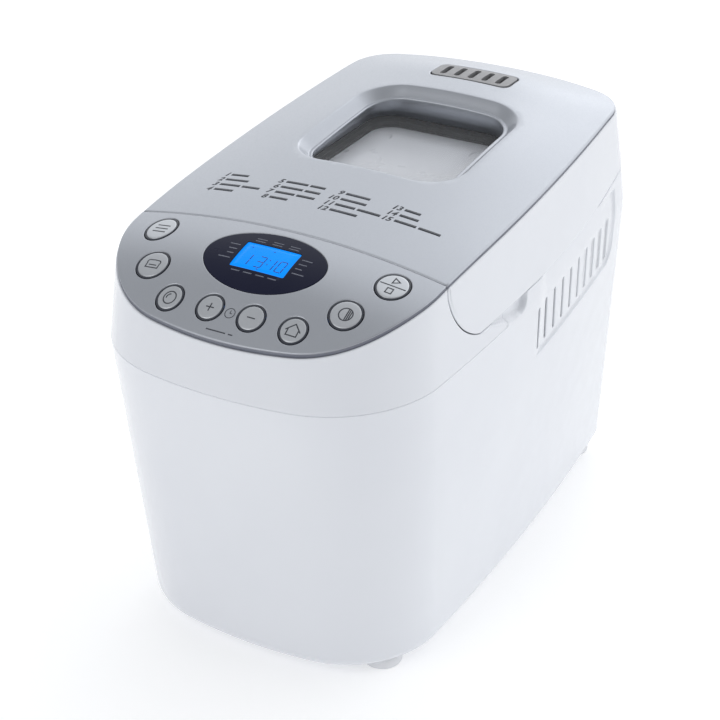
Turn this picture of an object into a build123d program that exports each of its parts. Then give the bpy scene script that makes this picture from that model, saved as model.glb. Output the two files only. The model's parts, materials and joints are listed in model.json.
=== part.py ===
"""Household bread machine: a tapered white body, a sloped control console and a hinged lid with a window.

Inside are the baking chamber, its heater, the belt drive, and a lift-out pan with a kneading paddle.
Millimetres. +Z is up, the console faces -Y, and the origin is on the ground under the middle.
"""
from build123d import *
import math
import os

os.makedirs("parts", exist_ok=True)

# Overall outline, at its widest, which is the level seam between the console band and the lower body
HALF_WIDTH = 114.5
HALF_LENGTH = 200.0
SIDE_RADIUS = 1967.0
FRONT_RADIUS = 284.0
REAR_RADIUS = 326.0
FRONT_CORNER = 76.0
REAR_CORNER = 34.0
SEAM_Z = 207.0
BODY_BOTTOM_Z = 11.0
# How far the walls lean in per millimetre of height, above the seam and below it
UPPER_LEAN = {"side": 0.085, "front": 0.18, "rear": 0.18}
LOWER_LEAN = {"side": 0.043, "front": 0.133, "rear": 0.004}
WALL = 2.6
BOTTOM_ROUND = 12.0
BLOCK_TOP_Z = 300.0

# Crowned top surface: (y, height at the side edge, extra height on the centre line)
CROWN_SECTIONS = (
    (-206.0, 233.0, 0.2),
    (-180.0, 243.0, 5.5),
    (-150.0, 255.5, 8.8),
    (-109.0, 264.0, 9.0),
    (-40.0, 270.5, 10.0),
    (54.0, 278.0, 11.0),
    (120.0, 281.5, 10.5),
    (160.0, 283.3, 7.5),
    (186.0, 284.0, 1.0),
    (206.0, 284.5, 0.2),
)
CROWN_HALF = 115.0
TRIM_DEPTH = 3.0  # the white walls stop this far below the silver crown
TRIM_INSET = 0.6
PANEL_THICK = 2.95

# Parting between the console and the lid
SPLIT_Y = -111.5
SPLIT_GAP = 0.5
LID_EDGE_Z = 218.5
LID_EDGE_RADIUS = 826.0
CONSOLE_END_Y = -40.0
CONSOLE_LEDGE = 5.5
CONSOLE_INNER_X = 99.8  # the console's two wings lie outside this, the lid's front and the deck inside it
CONSOLE_SCREW_PLACES = ((-92.0, -116.0), (92.0, -116.0))
BODY_EDGE_DROP = 1.0
LID_EDGE_RAISE = 0.2

# Hinge
HINGE_Y = 193.0
HINGE_Z = 241.0
KNUCKLE_RADIUS = 5.5
KNUCKLE_CLEAR = 6.3
PIN_RADIUS = 2.0
RUNNING = 0.05
LID_KNUCKLE_X = (34.0, 56.0)
BODY_KNUCKLE_X = ((22.0, 33.4), (56.6, 68.0))

# Console buttons: centre in plan, radius of the cap, and the tilt of the pressing direction in degrees
BUTTON_GAP = 0.35
BUTTON_PROUD = 0.25
BUTTON_TRAVEL = 0.8
FLANGE_DEPTH = 6.4
STEM_DEPTH = 11.0
BUTTONS = {
    "button_menu": (-80.0, -128.5, 10.3, 14.0),
    "button_start": (80.0, -128.5, 10.8, 14.0),
    "button_loaf_size": (-66.0, -158.5, 10.5, 21.0),
    "button_crust_color": (66.0, -158.5, 10.5, 21.0),
    "button_dough": (-42.0, -176.5, 9.7, 26.0),
    "button_home_made": (42.0, -176.5, 9.7, 26.0),
    "button_plus": (-14.0, -176.5, 9.7, 26.0),
    "button_minus": (14.0, -176.5, 9.7, 26.0),
}
DISPLAY_Y = -139.5
DISPLAY_HALF_X = 40.0
DISPLAY_HALF_Y = 26.5
DISPLAY_TILT = 14.0
LCD_SIZE = (44.0, 30.0, 4.0)
LCD_DEPTH = 7.5
SWITCH_SIZE = (6.0, 6.0, 9.0)
SWITCH_GAP = 0.3
BOARD_Y = -150.0
BOARD_TILT = 20.0
BOARD_DEPTH = 19.5

# Window and steam vent in the lid
WINDOW_Y = 40.5
WINDOW_SIZE = (131.0, 133.0)
WINDOW_ROUND = 30.0
BEZEL_WALL = 2.0
BEZEL_BOTTOM = (112.0, 116.0)
BEZEL_ROUND = 19.0
BEZEL_BOTTOM_Z = 271.0
BEZEL_LEDGE = 5.0
BEZEL_LEDGE_THICK = 2.0
BEZEL_TOP_Z = 296.0  # where the recess's sloping walls would end, above the crown that trims them
GLASS_ROUND = 16.0
GLASS_GAP = 0.4
OUTER_GLASS_THICK = 3.0
INNER_GLASS = (104.0, 108.0)
INNER_GLASS_Z = 254.0
INNER_GLASS_THICK = 4.0
GASKET_LIP = 1.5
GASKET_WIDTH = 4.0
VENT_Y = 141.5
VENT_SIZE = (60.0, 24.0)
VENT_ROUND = 6.0
VENT_PROUD = 0.2
LINER_Z = 221.0
LINER_THICK = 1.5
LINER_SHOULDER_Y = -72.0
STEAM_SLOT_Y = 118.0
SEAL_LOW_Z = 217.6
SEAL_WIDTH = 6.0
SEAL_MARGIN = 5.0
LID_FRONT_GAP = 2.5  # the middle of the lid's front wall stands back from the split, to swing clear
LID_SCREW_PLACES = ((-88.0, -78.0), (88.0, -78.0), (-88.0, 150.0), (88.0, 150.0))

# Finger scoops in the sides, under the lid's edge
SCOOP_FRONT_Y = -68.0
SCOOP_REAR_Y = -12.0
SCOOP_LOW_Z = 207.4
SCOOP_LOW_Y = -24.0
SCOOP_DEPTH = 8.0
SCOOP_BLOCK_X = (99.8, 113.0)
SCOOP_BLOCK_Y = (-72.0, -9.0)
SCOOP_BLOCK_Z = (200.0, 213.2)

# Bottom: feet, screws, floor plate and the outlet for the mains lead
FOOT_PLACES = {
    "foot_front_left": (-68.0, -134.0),
    "foot_front_right": (68.0, -134.0),
    "foot_rear_left": (-74.0, 158.0),
    "foot_rear_right": (74.0, 158.0),
}
FOOT_RADIUS = 13.0
FOOT_STEM = 4.0
FLANGE_WIDTH = 24.0
PLATE_THICK = 2.5
SCREW_RADIUS = 2.0
HEAD_RADIUS = 3.8
HEAD_HEIGHT = 2.2
BASE_SCREW_PLACES = ((-82.0, -50.0), (82.0, -50.0), (-82.0, 70.0), (82.0, 70.0))
GLAND_RADIUS = 8.0
GLAND_BORE = 4.2
GLAND_X = -70.0
GLAND_Z = 40.0
EVERYWHERE = 230.0

# Side ventilation slots
SLOT_COUNT = 10
SLOT_PITCH = 13.2
SLOT_FIRST_Y = 15.5
SLOT_SIZE = (3.0, 32.0)
SLOT_FIRST_Z = 181.0
SLOT_RISE = 1.1

# Baking chamber and pan, on one vertical axis
CHAMBER_Y = 40.0
CHAMBER_SIZE = (160.0, 196.0)
CHAMBER_ROUND = 28.0
CHAMBER_FLOOR_Z = 66.0
CHAMBER_WALL = 1.2
CHAMBER_RIM = 7.0
DECK_Z = 213.5
DECK_THICK = 2.4
PAN_SIZE = (138.0, 174.0)
PAN_ROUND = 26.0
PAN_TOP_Z = 203.0
PAN_FLOOR_Z = 84.0
PAN_WALL = 1.5
PAN_TAPER = 4.0
PAN_RIM = 2.5
PAN_BUSH_RADIUS = 9.0
PADDLE_LOW_Z = PAN_FLOOR_Z + 7.5
PADDLE_HEIGHT = 18.0
PADDLE_BLADE_HEIGHT = 22.0
PADDLE_REACH = 36.0
BAIL_Z = 207.0
BAIL_WIRE = 2.2
BAIL_REACH = 60.0
BAIL_HALF = PAN_SIZE[1] / 2 - 1.0
LUG_THICK = 1.5

# Heater and probe, through the chamber's front wall
CHAMBER_FRONT_Y = CHAMBER_Y - CHAMBER_SIZE[1] / 2
HEATER_Z = 75.0
HEATER_END_X = 14.0
HEATER_TUBE = 3.2
HEATER_SIZE = (146.0, 177.0)
INSULATOR_RADIUS = 6.0
SENSOR_X = 50.0
SENSOR_Z = 120.0
SENSOR_RADIUS = 3.0

# Drive
MOTOR_Y = -118.0
MOTOR_RADIUS = 34.0
MOTOR_LOW_Z = 46.0
MOTOR_HEIGHT = 78.0
MOTOR_PLATE_THICK = 2.0
BELT_Z = 24.0
BELT_WIDTH = 9.0
LARGE_PULLEY_RADIUS = 54.0
SMALL_PULLEY_RADIUS = 9.0
BELT_THICK = 2.0
BELT_CLEAR = 0.3
SHAFT_RADIUS = 4.0
SHAFT_FLAT = 1.2
BEARING_RADIUS = 13.0
BEARING_LOW_Z = 40.0
BUSH_RADIUS = 7.0
BUSH_LENGTH = 9.0
COUPLER_Z = 71.0
COUPLER_TOP_Z = 79.5
COUPLING_Z = COUPLER_Z + 4.6
SEAT_RADIUS = 47.0
SEAT_WALL = 1.5
SEAT_HEIGHT = 12.0

# Inner frame, standing on the floor plate
PLATE_Z = BODY_BOTTOM_Z + WALL
PLATE_TOP_Z = PLATE_Z + PLATE_THICK
FRAME_TOP_Z = CHAMBER_FLOOR_Z
FRAME_THICK = 2.0
FRAME_SIZE = (120.0, 150.0)
FRAME_LEG = 16.0
FRAME_TOE = 12.0


def save(shape, node):
    """Writes one sub-part."""
    solids = shape.solids()
    kept = solids[0] if len(solids) == 1 else Compound(children=list(solids))
    export_step(kept, f"parts/{node}.step")


def joined(shapes):
    """Fuses a list of shapes."""
    total = shapes[0]
    for shape in shapes[1:]:
        total = total + shape
    return total


def block(x_range, y_range, z_range):
    """Rectangular block between the given limits."""
    size = [high - low for low, high in (x_range, y_range, z_range)]
    middle = [(high + low) / 2 for low, high in (x_range, y_range, z_range)]
    return Pos(*middle) * Box(*size)


def upright(x, y, z_low, z_high, radius):
    """Vertical cylinder between two heights."""
    return Pos(x, y, (z_low + z_high) / 2) * Cylinder(radius, z_high - z_low)


def crosswise(x_range, y, z, radius):
    """Cylinder along X between two x values."""
    low, high = x_range
    return Pos((low + high) / 2, y, z) * Rot(0, 90, 0) * Cylinder(radius, high - low)


def rounded_block(size, corner, center_y, z_range):
    """Upright block with rounded vertical corners."""
    low, high = z_range
    face = RectangleRounded(size[0], size[1], corner)
    return Pos(0, center_y, low) * extrude(face, high - low)


def grown(size, amount):
    """Size pair with amount added all round."""
    return (size[0] + 2 * amount, size[1] + 2 * amount)


# ---------------------------------------------------------------- outer form


def plan_face(inset_side, inset_front, inset_rear, z):
    """Plan outline, moved in by the given amounts, as a face at height z."""
    half = HALF_WIDTH - inset_side
    front = -HALF_LENGTH + inset_front
    rear = HALF_LENGTH - inset_rear
    face = Pos(half - SIDE_RADIUS, 0) * Circle(SIDE_RADIUS)
    face = face & (Pos(SIDE_RADIUS - half, 0) * Circle(SIDE_RADIUS))
    face = face & (Pos(0, front + FRONT_RADIUS) * Circle(FRONT_RADIUS))
    face = face & (Pos(0, rear - REAR_RADIUS) * Circle(REAR_RADIUS))
    front_corners = face.vertices().sort_by(Axis.Y)[:2]
    face = fillet(front_corners, FRONT_CORNER - inset_side)
    rear_corners = face.vertices().sort_by(Axis.Y)[-2:]
    face = fillet(rear_corners, REAR_CORNER - inset_side)
    return Pos(0, 0, z) * face


def wall_face(inset, z):
    """Plan outline of the leaning outer wall at height z, moved in by inset."""
    lean = UPPER_LEAN if z >= SEAM_Z else LOWER_LEAN
    rise = abs(z - SEAM_Z)
    insets = [inset + lean[part] * rise for part in ("side", "front", "rear")]
    return plan_face(*insets, z)


def upper_block(inset):
    """Solid inside the outer wall above the seam."""
    return loft([wall_face(inset, SEAM_Z), wall_face(inset, BLOCK_TOP_Z)], ruled=True)


def lower_block(inset, z_low, round_radius):
    """Solid inside the outer wall below the seam, with a rounded bottom edge."""
    low_face = wall_face(inset, z_low)
    high_face = wall_face(inset, SEAM_Z - 1e-6)
    solid = loft([low_face, Pos(0, 0, 1e-6) * high_face], ruled=True)
    bottom = solid.faces().sort_by(Axis.Z)[0]
    return fillet(bottom.edges(), round_radius)


def crown_block(drop):
    """Solid under the crowned top surface, lowered by drop."""
    sections = []
    base_z = SEAM_Z - 30.0
    for y, edge_z, rise in CROWN_SECTIONS:
        low_left = (-CROWN_HALF, y, base_z)
        low_right = (CROWN_HALF, y, base_z)
        left = (-CROWN_HALF, y, edge_z - drop)
        right = (CROWN_HALF, y, edge_z - drop)
        top = (0, y, edge_z + rise - drop)
        wire = Wire([
            Line(low_left, low_right).edge(),
            Line(low_right, right).edge(),
            ThreePointArc(right, top, left).edge(),
            Line(left, low_left).edge(),
        ])
        sections.append(Face(wire))
    return loft(sections)


def lid_edge_line(offset):
    """The lid's lower edge and its grip tab's curve, as a chain of edges from the rear to the split."""
    edge_z = LID_EDGE_Z + offset
    rear_z = edge_z + (HALF_LENGTH + 10.0) ** 2 / (2 * LID_EDGE_RADIUS)
    middle_y = (HALF_LENGTH + 10.0) / 2
    middle_z = edge_z + middle_y ** 2 / (2 * LID_EDGE_RADIUS)
    shift = SPLIT_GAP * (1 if offset > 0 else -1)
    split_y = SPLIT_Y + shift
    tab_low = (-76.0, edge_z)
    tab_middle = (-97.4 + shift, 231.2 + offset)
    tab_high = (split_y, 256.0)
    return [
        ThreePointArc((HALF_LENGTH + 10.0, rear_z), (middle_y, middle_z), (0.0, edge_z)),
        Line((0.0, edge_z), tab_low),
        ThreePointArc(tab_low, tab_middle, tab_high),
        Line(tab_high, (split_y, BLOCK_TOP_Z)),
    ]


def region(edges, half_width=130.0):
    """Region of the side view inside a closed chain of plane edges, as a solid across the machine."""
    face = make_face(edges)
    return Plane.YZ.offset(-half_width) * extrude(face, 2 * half_width)


def above_lid_edge():
    """Side-view region that belongs to the lid."""
    rear = HALF_LENGTH + 10.0
    chain = lid_edge_line(LID_EDGE_RAISE)
    closing = Polyline((SPLIT_Y + SPLIT_GAP, BLOCK_TOP_Z), (rear, BLOCK_TOP_Z), chain[0] @ 0)
    return region(Curve() + chain + closing)


def below_lid_edge(drop=BODY_EDGE_DROP):
    """Side-view region that belongs to the console and the body, its edge lowered by drop."""
    front = -HALF_LENGTH - 10.0
    chain = lid_edge_line(-drop)
    closing = Polyline(
        (SPLIT_Y - SPLIT_GAP, BLOCK_TOP_Z),
        (front, BLOCK_TOP_Z),
        (front, SEAM_Z),
        (HALF_LENGTH + 10.0, SEAM_Z),
        chain[0] @ 0,
    )
    return region(Curve() + chain + closing)


# ---------------------------------------------------------------- finger scoops and slots


def scoop_cutter(side):
    """Teardrop recess under the lid's edge, deeper towards the rear."""
    top_z = LID_EDGE_Z + 2.0
    low_point = (SCOOP_LOW_Y, SCOOP_LOW_Z)
    outline = [
        ThreePointArc((SCOOP_FRONT_Y, top_z), (-46.0, 211.2), low_point),
        ThreePointArc(low_point, (-15.0, 209.4), (SCOOP_REAR_Y, top_z)),
        Line((SCOOP_REAR_Y, top_z), (SCOOP_FRONT_Y, top_z)),
    ]
    solid = Plane.YZ * extrude(make_face(Curve() + outline), 2 * SCOOP_DEPTH)
    solid = Pos(HALF_WIDTH - SCOOP_DEPTH, 0, 0) * solid
    return solid if side > 0 else solid.mirror(Plane.YZ)


def scoop_block(side):
    """Solid boss behind a finger scoop."""
    limits = SCOOP_BLOCK_X if side > 0 else (-SCOOP_BLOCK_X[1], -SCOOP_BLOCK_X[0])
    boss = block(limits, SCOOP_BLOCK_Y, SCOOP_BLOCK_Z)
    return boss & (upper_block(WALL / 2) + lower_block(WALL / 2, BODY_BOTTOM_Z, BOTTOM_ROUND))


def side_slots():
    """The row of upright ventilation slots, cut through both side walls."""
    cutters = []
    for i in range(SLOT_COUNT):
        y = SLOT_FIRST_Y + i * SLOT_PITCH
        z = SLOT_FIRST_Z + i * SLOT_RISE
        slot = Plane.YZ * SlotOverall(SLOT_SIZE[1], SLOT_SIZE[0], rotation=90)
        for side in (-1, 1):
            cutters.append(Pos(side * 110.0, y, z) * extrude(slot, 14.0, both=True))
    return cutters


# ---------------------------------------------------------------- housings

def slab(y_range, z_range):
    """Block across the whole machine between two y and two z limits."""
    return block((-EVERYWHERE, EVERYWHERE), y_range, z_range)


def holes(shape, places, z_low, z_high, radius):
    """Drills upright holes at the given places."""
    for x, y in places:
        shape = shape - upright(x, y, z_low, z_high, radius)
    return shape


def hinge_knuckle(span, side, web_z):
    """One hinge knuckle with the web that carries it."""
    limits = sorted(side * x for x in span)
    barrel = crosswise(limits, HINGE_Y, HINGE_Z, KNUCKLE_RADIUS)
    web = block(limits, (HINGE_Y - KNUCKLE_RADIUS, HINGE_Y + 1.0), sorted((HINGE_Z, web_z)))
    return barrel + web


def knuckle_clearance(span, side):
    """Space that a turning knuckle of the other part needs."""
    limits = sorted((side * (span[0] - 0.6), side * (span[1] + 0.6)))
    return crosswise(limits, HINGE_Y, HINGE_Z, KNUCKLE_CLEAR)


def hinge_bore(side, radius):
    """Bore or pin along the hinge axis on one side."""
    limits = sorted((side * BODY_KNUCKLE_X[0][0], side * BODY_KNUCKLE_X[1][1]))
    return crosswise(limits, HINGE_Y, HINGE_Z, radius)


def lower_body_shell():
    """Tapered outer body with an in-turned bottom flange, side slots, finger scoops and hinge knuckles."""
    outer = lower_block(0, BODY_BOTTOM_Z, BOTTOM_ROUND)
    inner = lower_block(WALL, BODY_BOTTOM_Z + WALL, BOTTOM_ROUND - WALL)
    raised = (upper_block(0) - upper_block(WALL)) & below_lid_edge()
    raised = raised & slab((CONSOLE_END_Y, EVERYWHERE), (SEAM_Z, BLOCK_TOP_Z))
    opening = plan_face(FLANGE_WIDTH + 8.0, FLANGE_WIDTH + 26.0, FLANGE_WIDTH, BODY_BOTTOM_Z - 1.0)
    body = outer - inner - extrude(opening, 10.0) + raised
    behind_console = slab((CONSOLE_END_Y, EVERYWHERE), (SEAM_Z - 1.0, BLOCK_TOP_Z))
    below_seam = slab((-EVERYWHERE, EVERYWHERE), (0, SEAM_Z))
    for side in (-1, 1):
        body = body + (scoop_block(side) & (behind_console + below_seam))
        for span in BODY_KNUCKLE_X:
            body = body + hinge_knuckle(span, side, HINGE_Z - 13.0)
        body = body - knuckle_clearance(LID_KNUCKLE_X, side)
        body = body - scoop_cutter(side)
        body = body - hinge_bore(side, PIN_RADIUS)
    for slot in side_slots():
        body = body - slot
    body = body - Pos(GLAND_X, HALF_LENGTH, GLAND_Z) * Rot(90, 0, 0) * Cylinder(GLAND_RADIUS, 60.0)
    body = holes(body, BASE_SCREW_PLACES, BODY_BOTTOM_Z - 1.0, PLATE_Z, SCREW_RADIUS)
    return holes(body, FOOT_PLACES.values(), BODY_BOTTOM_Z - 1.0, PLATE_Z, FOOT_STEM)


def cord_gland():
    """Ring-shaped outlet in the rear wall for the mains lead, with a flange inside the wall."""
    reach = abs(GLAND_X) + GLAND_RADIUS + 3.0
    bow = REAR_RADIUS - math.sqrt(REAR_RADIUS ** 2 - reach ** 2)
    inner_y = HALF_LENGTH - LOWER_LEAN["rear"] * (SEAM_Z - GLAND_Z) - bow - WALL - 0.6
    neck = Pos(0, 0, 2.0) * Cylinder(GLAND_RADIUS, 8.0)
    flange = Pos(0, 0, -1.0) * Cylinder(GLAND_RADIUS + 3.0, 2.0)
    gland = neck + flange - Cylinder(GLAND_BORE, 40.0)
    return Pos(GLAND_X, inner_y, GLAND_Z) * Rot(-90, 0, 0) * gland


def base_plate():
    """Flat floor of the machine, resting on the body's in-turned flange, with air slots under the heater."""
    plate = extrude(plan_face(20.0, 44.0, 14.0, PLATE_Z), PLATE_THICK)
    plate = holes(plate, BASE_SCREW_PLACES, 0, 30, SCREW_RADIUS)
    plate = holes(plate, FOOT_PLACES.values(), 0, 30, FOOT_STEM)
    for row in range(4):
        plate = plate - Pos(0, 110.0 + row * 12.0, PLATE_Z - 2.0) * extrude(SlotOverall(60.0, 4.0), 8.0)
    return plate


def foot(x, y):
    """Round foot with a stem that plugs through the flange into the base plate, hollow underneath."""
    pad = upright(x, y, 0, BODY_BOTTOM_Z, FOOT_RADIUS)
    pad = fillet(pad.edges().filter_by(GeomType.CIRCLE).sort_by(Axis.Z)[0], 1.6)
    stem = upright(x, y, BODY_BOTTOM_Z, PLATE_TOP_Z + 2.0, FOOT_STEM)
    recess = upright(x, y, -1.0, 1.5, FOOT_RADIUS - 5.0)
    return pad + stem - recess


def screws(places, head_z, tip_z):
    """A group of upward pan-head screws, with the undersides of the heads at head_z and the tips at tip_z."""
    group = []
    for x, y in places:
        shank = upright(x, y, head_z, tip_z, SCREW_RADIUS)
        head = upright(x, y, head_z - HEAD_HEIGHT, head_z, HEAD_RADIUS)
        group.append((shank + head).solids()[0])
    return Compound(children=group)


def console_cover():
    """White band round the front, with a ledge for the panel, a rear wall and two wings along the sides."""
    console = below_lid_edge() & slab((-EVERYWHERE, CONSOLE_END_Y), (SEAM_Z, BLOCK_TOP_Z))
    outer = upper_block(0) & crown_block(TRIM_DEPTH) & console
    hollow = upper_block(WALL) & crown_block(TRIM_DEPTH + WALL)
    hollow = hollow & slab((-EVERYWHERE, SPLIT_Y - WALL - 0.3), (SEAM_Z - 1, BLOCK_TOP_Z))
    wing_hollow = upper_block(WALL) & below_lid_edge(BODY_EDGE_DROP + WALL)
    wing_hollow = wing_hollow & slab((SPLIT_Y + 0.1, CONSOLE_END_Y + 1), (SEAM_Z - 1, BLOCK_TOP_Z))
    between = block((-CONSOLE_INNER_X, CONSOLE_INNER_X), (SPLIT_Y + 0.1, CONSOLE_END_Y + 1),
                    (SEAM_Z - 1, BLOCK_TOP_Z))
    window = upper_block(CONSOLE_LEDGE) & slab((-EVERYWHERE, SPLIT_Y - 5.0), (SEAM_Z + 12, BLOCK_TOP_Z))
    cover = outer - hollow - wing_hollow - between - window
    for side in (-1, 1):
        boss = scoop_block(side) & slab((-EVERYWHERE, CONSOLE_END_Y), (SEAM_Z, BLOCK_TOP_Z))
        cover = cover + boss - scoop_cutter(side)
    for x, y in CONSOLE_SCREW_PLACES:
        post = upright(x, y, SEAM_Z, SEAM_Z + 12.0, 5.0)
        rib = block((x - 1.5, x + 1.5), (y, SPLIT_Y - WALL), (SEAM_Z, SEAM_Z + 12.0))
        cover = cover + post + rib - upright(x, y, SEAM_Z - 2, SEAM_Z + 8.0, SCREW_RADIUS)
    for x, y, radius, tilt in BUTTONS.values():
        cover = cover - press_place(x, y, tilt) * Cylinder(radius + 1.8, 30.0)
    return cover.solids().sort_by(SortBy.VOLUME)[-1]


def console_height(x, y):
    """Height of the crowned surface on the console, by straight lines between its sections."""
    for low, high in zip(CROWN_SECTIONS, CROWN_SECTIONS[1:]):
        if low[0] <= y <= high[0]:
            share = (y - low[0]) / (high[0] - low[0])
            edge = low[1] + share * (high[1] - low[1])
            rise = low[2] + share * (high[2] - low[2])
            return edge + rise * (1 - (x / CROWN_HALF) ** 2)
    return CROWN_SECTIONS[0][1]


def press_place(x, y, tilt):
    """Location on the console with its local Z along the outward pressing direction."""
    return Pos(x, y, console_height(x, y)) * Rot(tilt, 0, 0)


def display_column():
    """Oval column through the console at the display."""
    oval = Ellipse(DISPLAY_HALF_X, DISPLAY_HALF_Y)
    return press_place(0, DISPLAY_Y, DISPLAY_TILT) * Pos(0, 0, -20) * extrude(oval, 40.0)


def control_panel():
    """Silver fascia that follows the crown, with openings for the display and the button caps."""
    panel = crown_block(0) - crown_block(PANEL_THICK)
    panel = panel & upper_block(TRIM_INSET) & slab((-EVERYWHERE, SPLIT_Y - SPLIT_GAP), (SEAM_Z, BLOCK_TOP_Z))
    for x, y, radius, tilt in BUTTONS.values():
        panel = panel - press_place(x, y, tilt) * Cylinder(radius + BUTTON_GAP, 30.0)
    panel = panel - display_column()
    return panel.solids().sort_by(SortBy.VOLUME)[-1]


def display_lens():
    """Dark oval window over the display, flush with the fascia."""
    lens = (crown_block(0) - crown_block(PANEL_THICK - 0.4)) & display_column()
    return lens.solids().sort_by(SortBy.VOLUME)[-1]


def button_cap(x, y, radius, tilt):
    """Push button: a crowned cap in the fascia's hole, a retaining flange under it and a stem."""
    place = press_place(x, y, tilt)
    column = place * Pos(0, 0, 2.0 - FLANGE_DEPTH / 2) * Cylinder(radius, FLANGE_DEPTH + 4.0)
    flange = place * Pos(0, 0, -FLANGE_DEPTH) * Cylinder(radius + 1.2, 1.2)
    stem = place * Pos(0, 0, -(FLANGE_DEPTH + STEM_DEPTH) / 2) * Cylinder(2.5, STEM_DEPTH - FLANGE_DEPTH)
    return (crown_block(-BUTTON_PROUD) & column) + flange + stem


def board_place():
    """Location of the control board under the fascia."""
    return press_place(0, BOARD_Y, BOARD_TILT) * Pos(0, 0, -BOARD_DEPTH)


def control_board():
    """Circuit board under the fascia that carries the display and has a cut-out for each switch."""
    outline = Pos(0, 12.0) * RectangleRounded(172.0, 44.0, 6.0)
    outline = outline + Pos(0, -14.0) * RectangleRounded(120.0, 34.0, 12.0)
    board = board_place() * extrude(outline, -1.6)
    board = board & upper_block(WALL + 1.0) & slab((-EVERYWHERE, SPLIT_Y - WALL - 1.2), (SEAM_Z, BLOCK_TOP_Z))
    for place in switch_places():
        board = board - place * (switch_plunger() + switch_case())
    return board.solids().sort_by(SortBy.VOLUME)[-1]


def lcd_module():
    """Liquid crystal display in its frame, under the lens."""
    return press_place(0, DISPLAY_Y, DISPLAY_TILT) * Pos(0, 0, -LCD_DEPTH) * Box(*LCD_SIZE)


def switch_places():
    """Location of each button's switch, with Z along the pressing direction and the plunger's top at 0."""
    depth = STEM_DEPTH + BUTTON_TRAVEL + SWITCH_GAP
    return [press_place(x, y, tilt) * Pos(0, 0, -depth) for x, y, _, tilt in BUTTONS.values()]


def switch_case():
    """Square case of one switch, tall enough to reach through the board."""
    return Pos(0, 0, -1.5 - SWITCH_SIZE[2] / 2) * Box(*SWITCH_SIZE)


def switch_plunger():
    """Round plunger on top of a switch's case."""
    return Pos(0, 0, -0.75) * Cylinder(1.7, 1.5)


def tact_switches():
    """One small switch under each button's stem."""
    switches = [(place * (switch_plunger() + switch_case())).solids()[0] for place in switch_places()]
    return Compound(children=switches)


def top_deck():
    """Flat deck under the lid, round the chamber's mouth."""
    deck = extrude(wall_face(WALL + 0.6, DECK_Z), DECK_THICK)
    deck = deck & slab((SPLIT_Y + 0.4, EVERYWHERE), (0, BLOCK_TOP_Z))
    for side in (-1, 1):
        wing = sorted((side * (CONSOLE_INNER_X - 0.4), side * EVERYWHERE))
        deck = deck - block(wing, (-EVERYWHERE, CONSOLE_END_Y + 0.4), (SEAM_Z, BLOCK_TOP_Z))
        deck = deck - scoop_cutter(side)
    mouth = rounded_block(grown(CHAMBER_SIZE, CHAMBER_WALL), CHAMBER_ROUND + CHAMBER_WALL, CHAMBER_Y,
                          (SEAM_Z, BLOCK_TOP_Z))
    return deck - mouth


def chamber_liner():
    """Steel oven box with a turned-out rim and openings for the drive, the heater's ends and the probe."""
    wall = CHAMBER_WALL
    low, high = CHAMBER_FLOOR_Z, DECK_Z + DECK_THICK
    outer = rounded_block(grown(CHAMBER_SIZE, wall), CHAMBER_ROUND + wall, CHAMBER_Y, (low, high))
    rim = rounded_block(grown(CHAMBER_SIZE, CHAMBER_RIM), CHAMBER_ROUND + CHAMBER_RIM, CHAMBER_Y,
                        (high, high + wall))
    inner = rounded_block(CHAMBER_SIZE, CHAMBER_ROUND, CHAMBER_Y, (low + wall, high + 5.0))
    liner = outer + rim - inner
    liner = liner - upright(0, CHAMBER_Y, low - 1, low + 3, BEARING_RADIUS)
    for x in (-HEATER_END_X, HEATER_END_X):
        liner = liner - Pos(x, CHAMBER_FRONT_Y, HEATER_Z) * Rot(90, 0, 0) * Cylinder(INSULATOR_RADIUS, 8.0)
    return liner - Pos(SENSOR_X, CHAMBER_FRONT_Y, SENSOR_Z) * Rot(90, 0, 0) * Cylinder(SENSOR_RADIUS, 8.0)


def heating_element():
    """Tubular heater: one loop round the chamber's floor, with both ends out through the front wall."""
    half_x, half_y = HEATER_SIZE[0] / 2, HEATER_SIZE[1] / 2
    front, rear = CHAMBER_Y - half_y, CHAMBER_Y + half_y
    end_y = CHAMBER_FRONT_Y - 20.0
    points = [(-HEATER_END_X, end_y), (-HEATER_END_X, front), (-half_x, front), (-half_x, rear)]
    points = points + [(-x, y) for x, y in reversed(points)]
    path = FilletPolyline(*[(x, y, HEATER_Z) for x, y in points], radius=[6.0, 22.0, 22.0, 22.0, 22.0, 6.0])
    section = Plane((-HEATER_END_X, end_y, HEATER_Z), z_dir=(0, 1, 0)) * Circle(HEATER_TUBE)
    return sweep(section, path=path)


def element_insulators():
    """Ceramic bushes that carry the heater's ends through the chamber wall."""
    bushes = []
    for x in (-HEATER_END_X, HEATER_END_X):
        bush = Cylinder(INSULATOR_RADIUS, 7.2) + Pos(0, 0, 2.1) * Cylinder(INSULATOR_RADIUS + 2.0, 3.0)
        bush = bush - Cylinder(HEATER_TUBE, 20.0)
        place = Pos(x, CHAMBER_FRONT_Y - CHAMBER_WALL / 2, HEATER_Z) * Rot(90, 0, 0)
        bushes.append((place * bush).solids()[0])
    return Compound(children=bushes)


def temperature_sensor():
    """Probe through the chamber's front wall with its clamping nut outside."""
    probe = Cylinder(SENSOR_RADIUS, 16.0) + Pos(0, 0, 1.0) * extrude(RegularPolygon(5.5, 6), 4.0)
    return Pos(SENSOR_X, CHAMBER_FRONT_Y - CHAMBER_WALL, SENSOR_Z) * Rot(90, 0, 0) * probe


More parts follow.
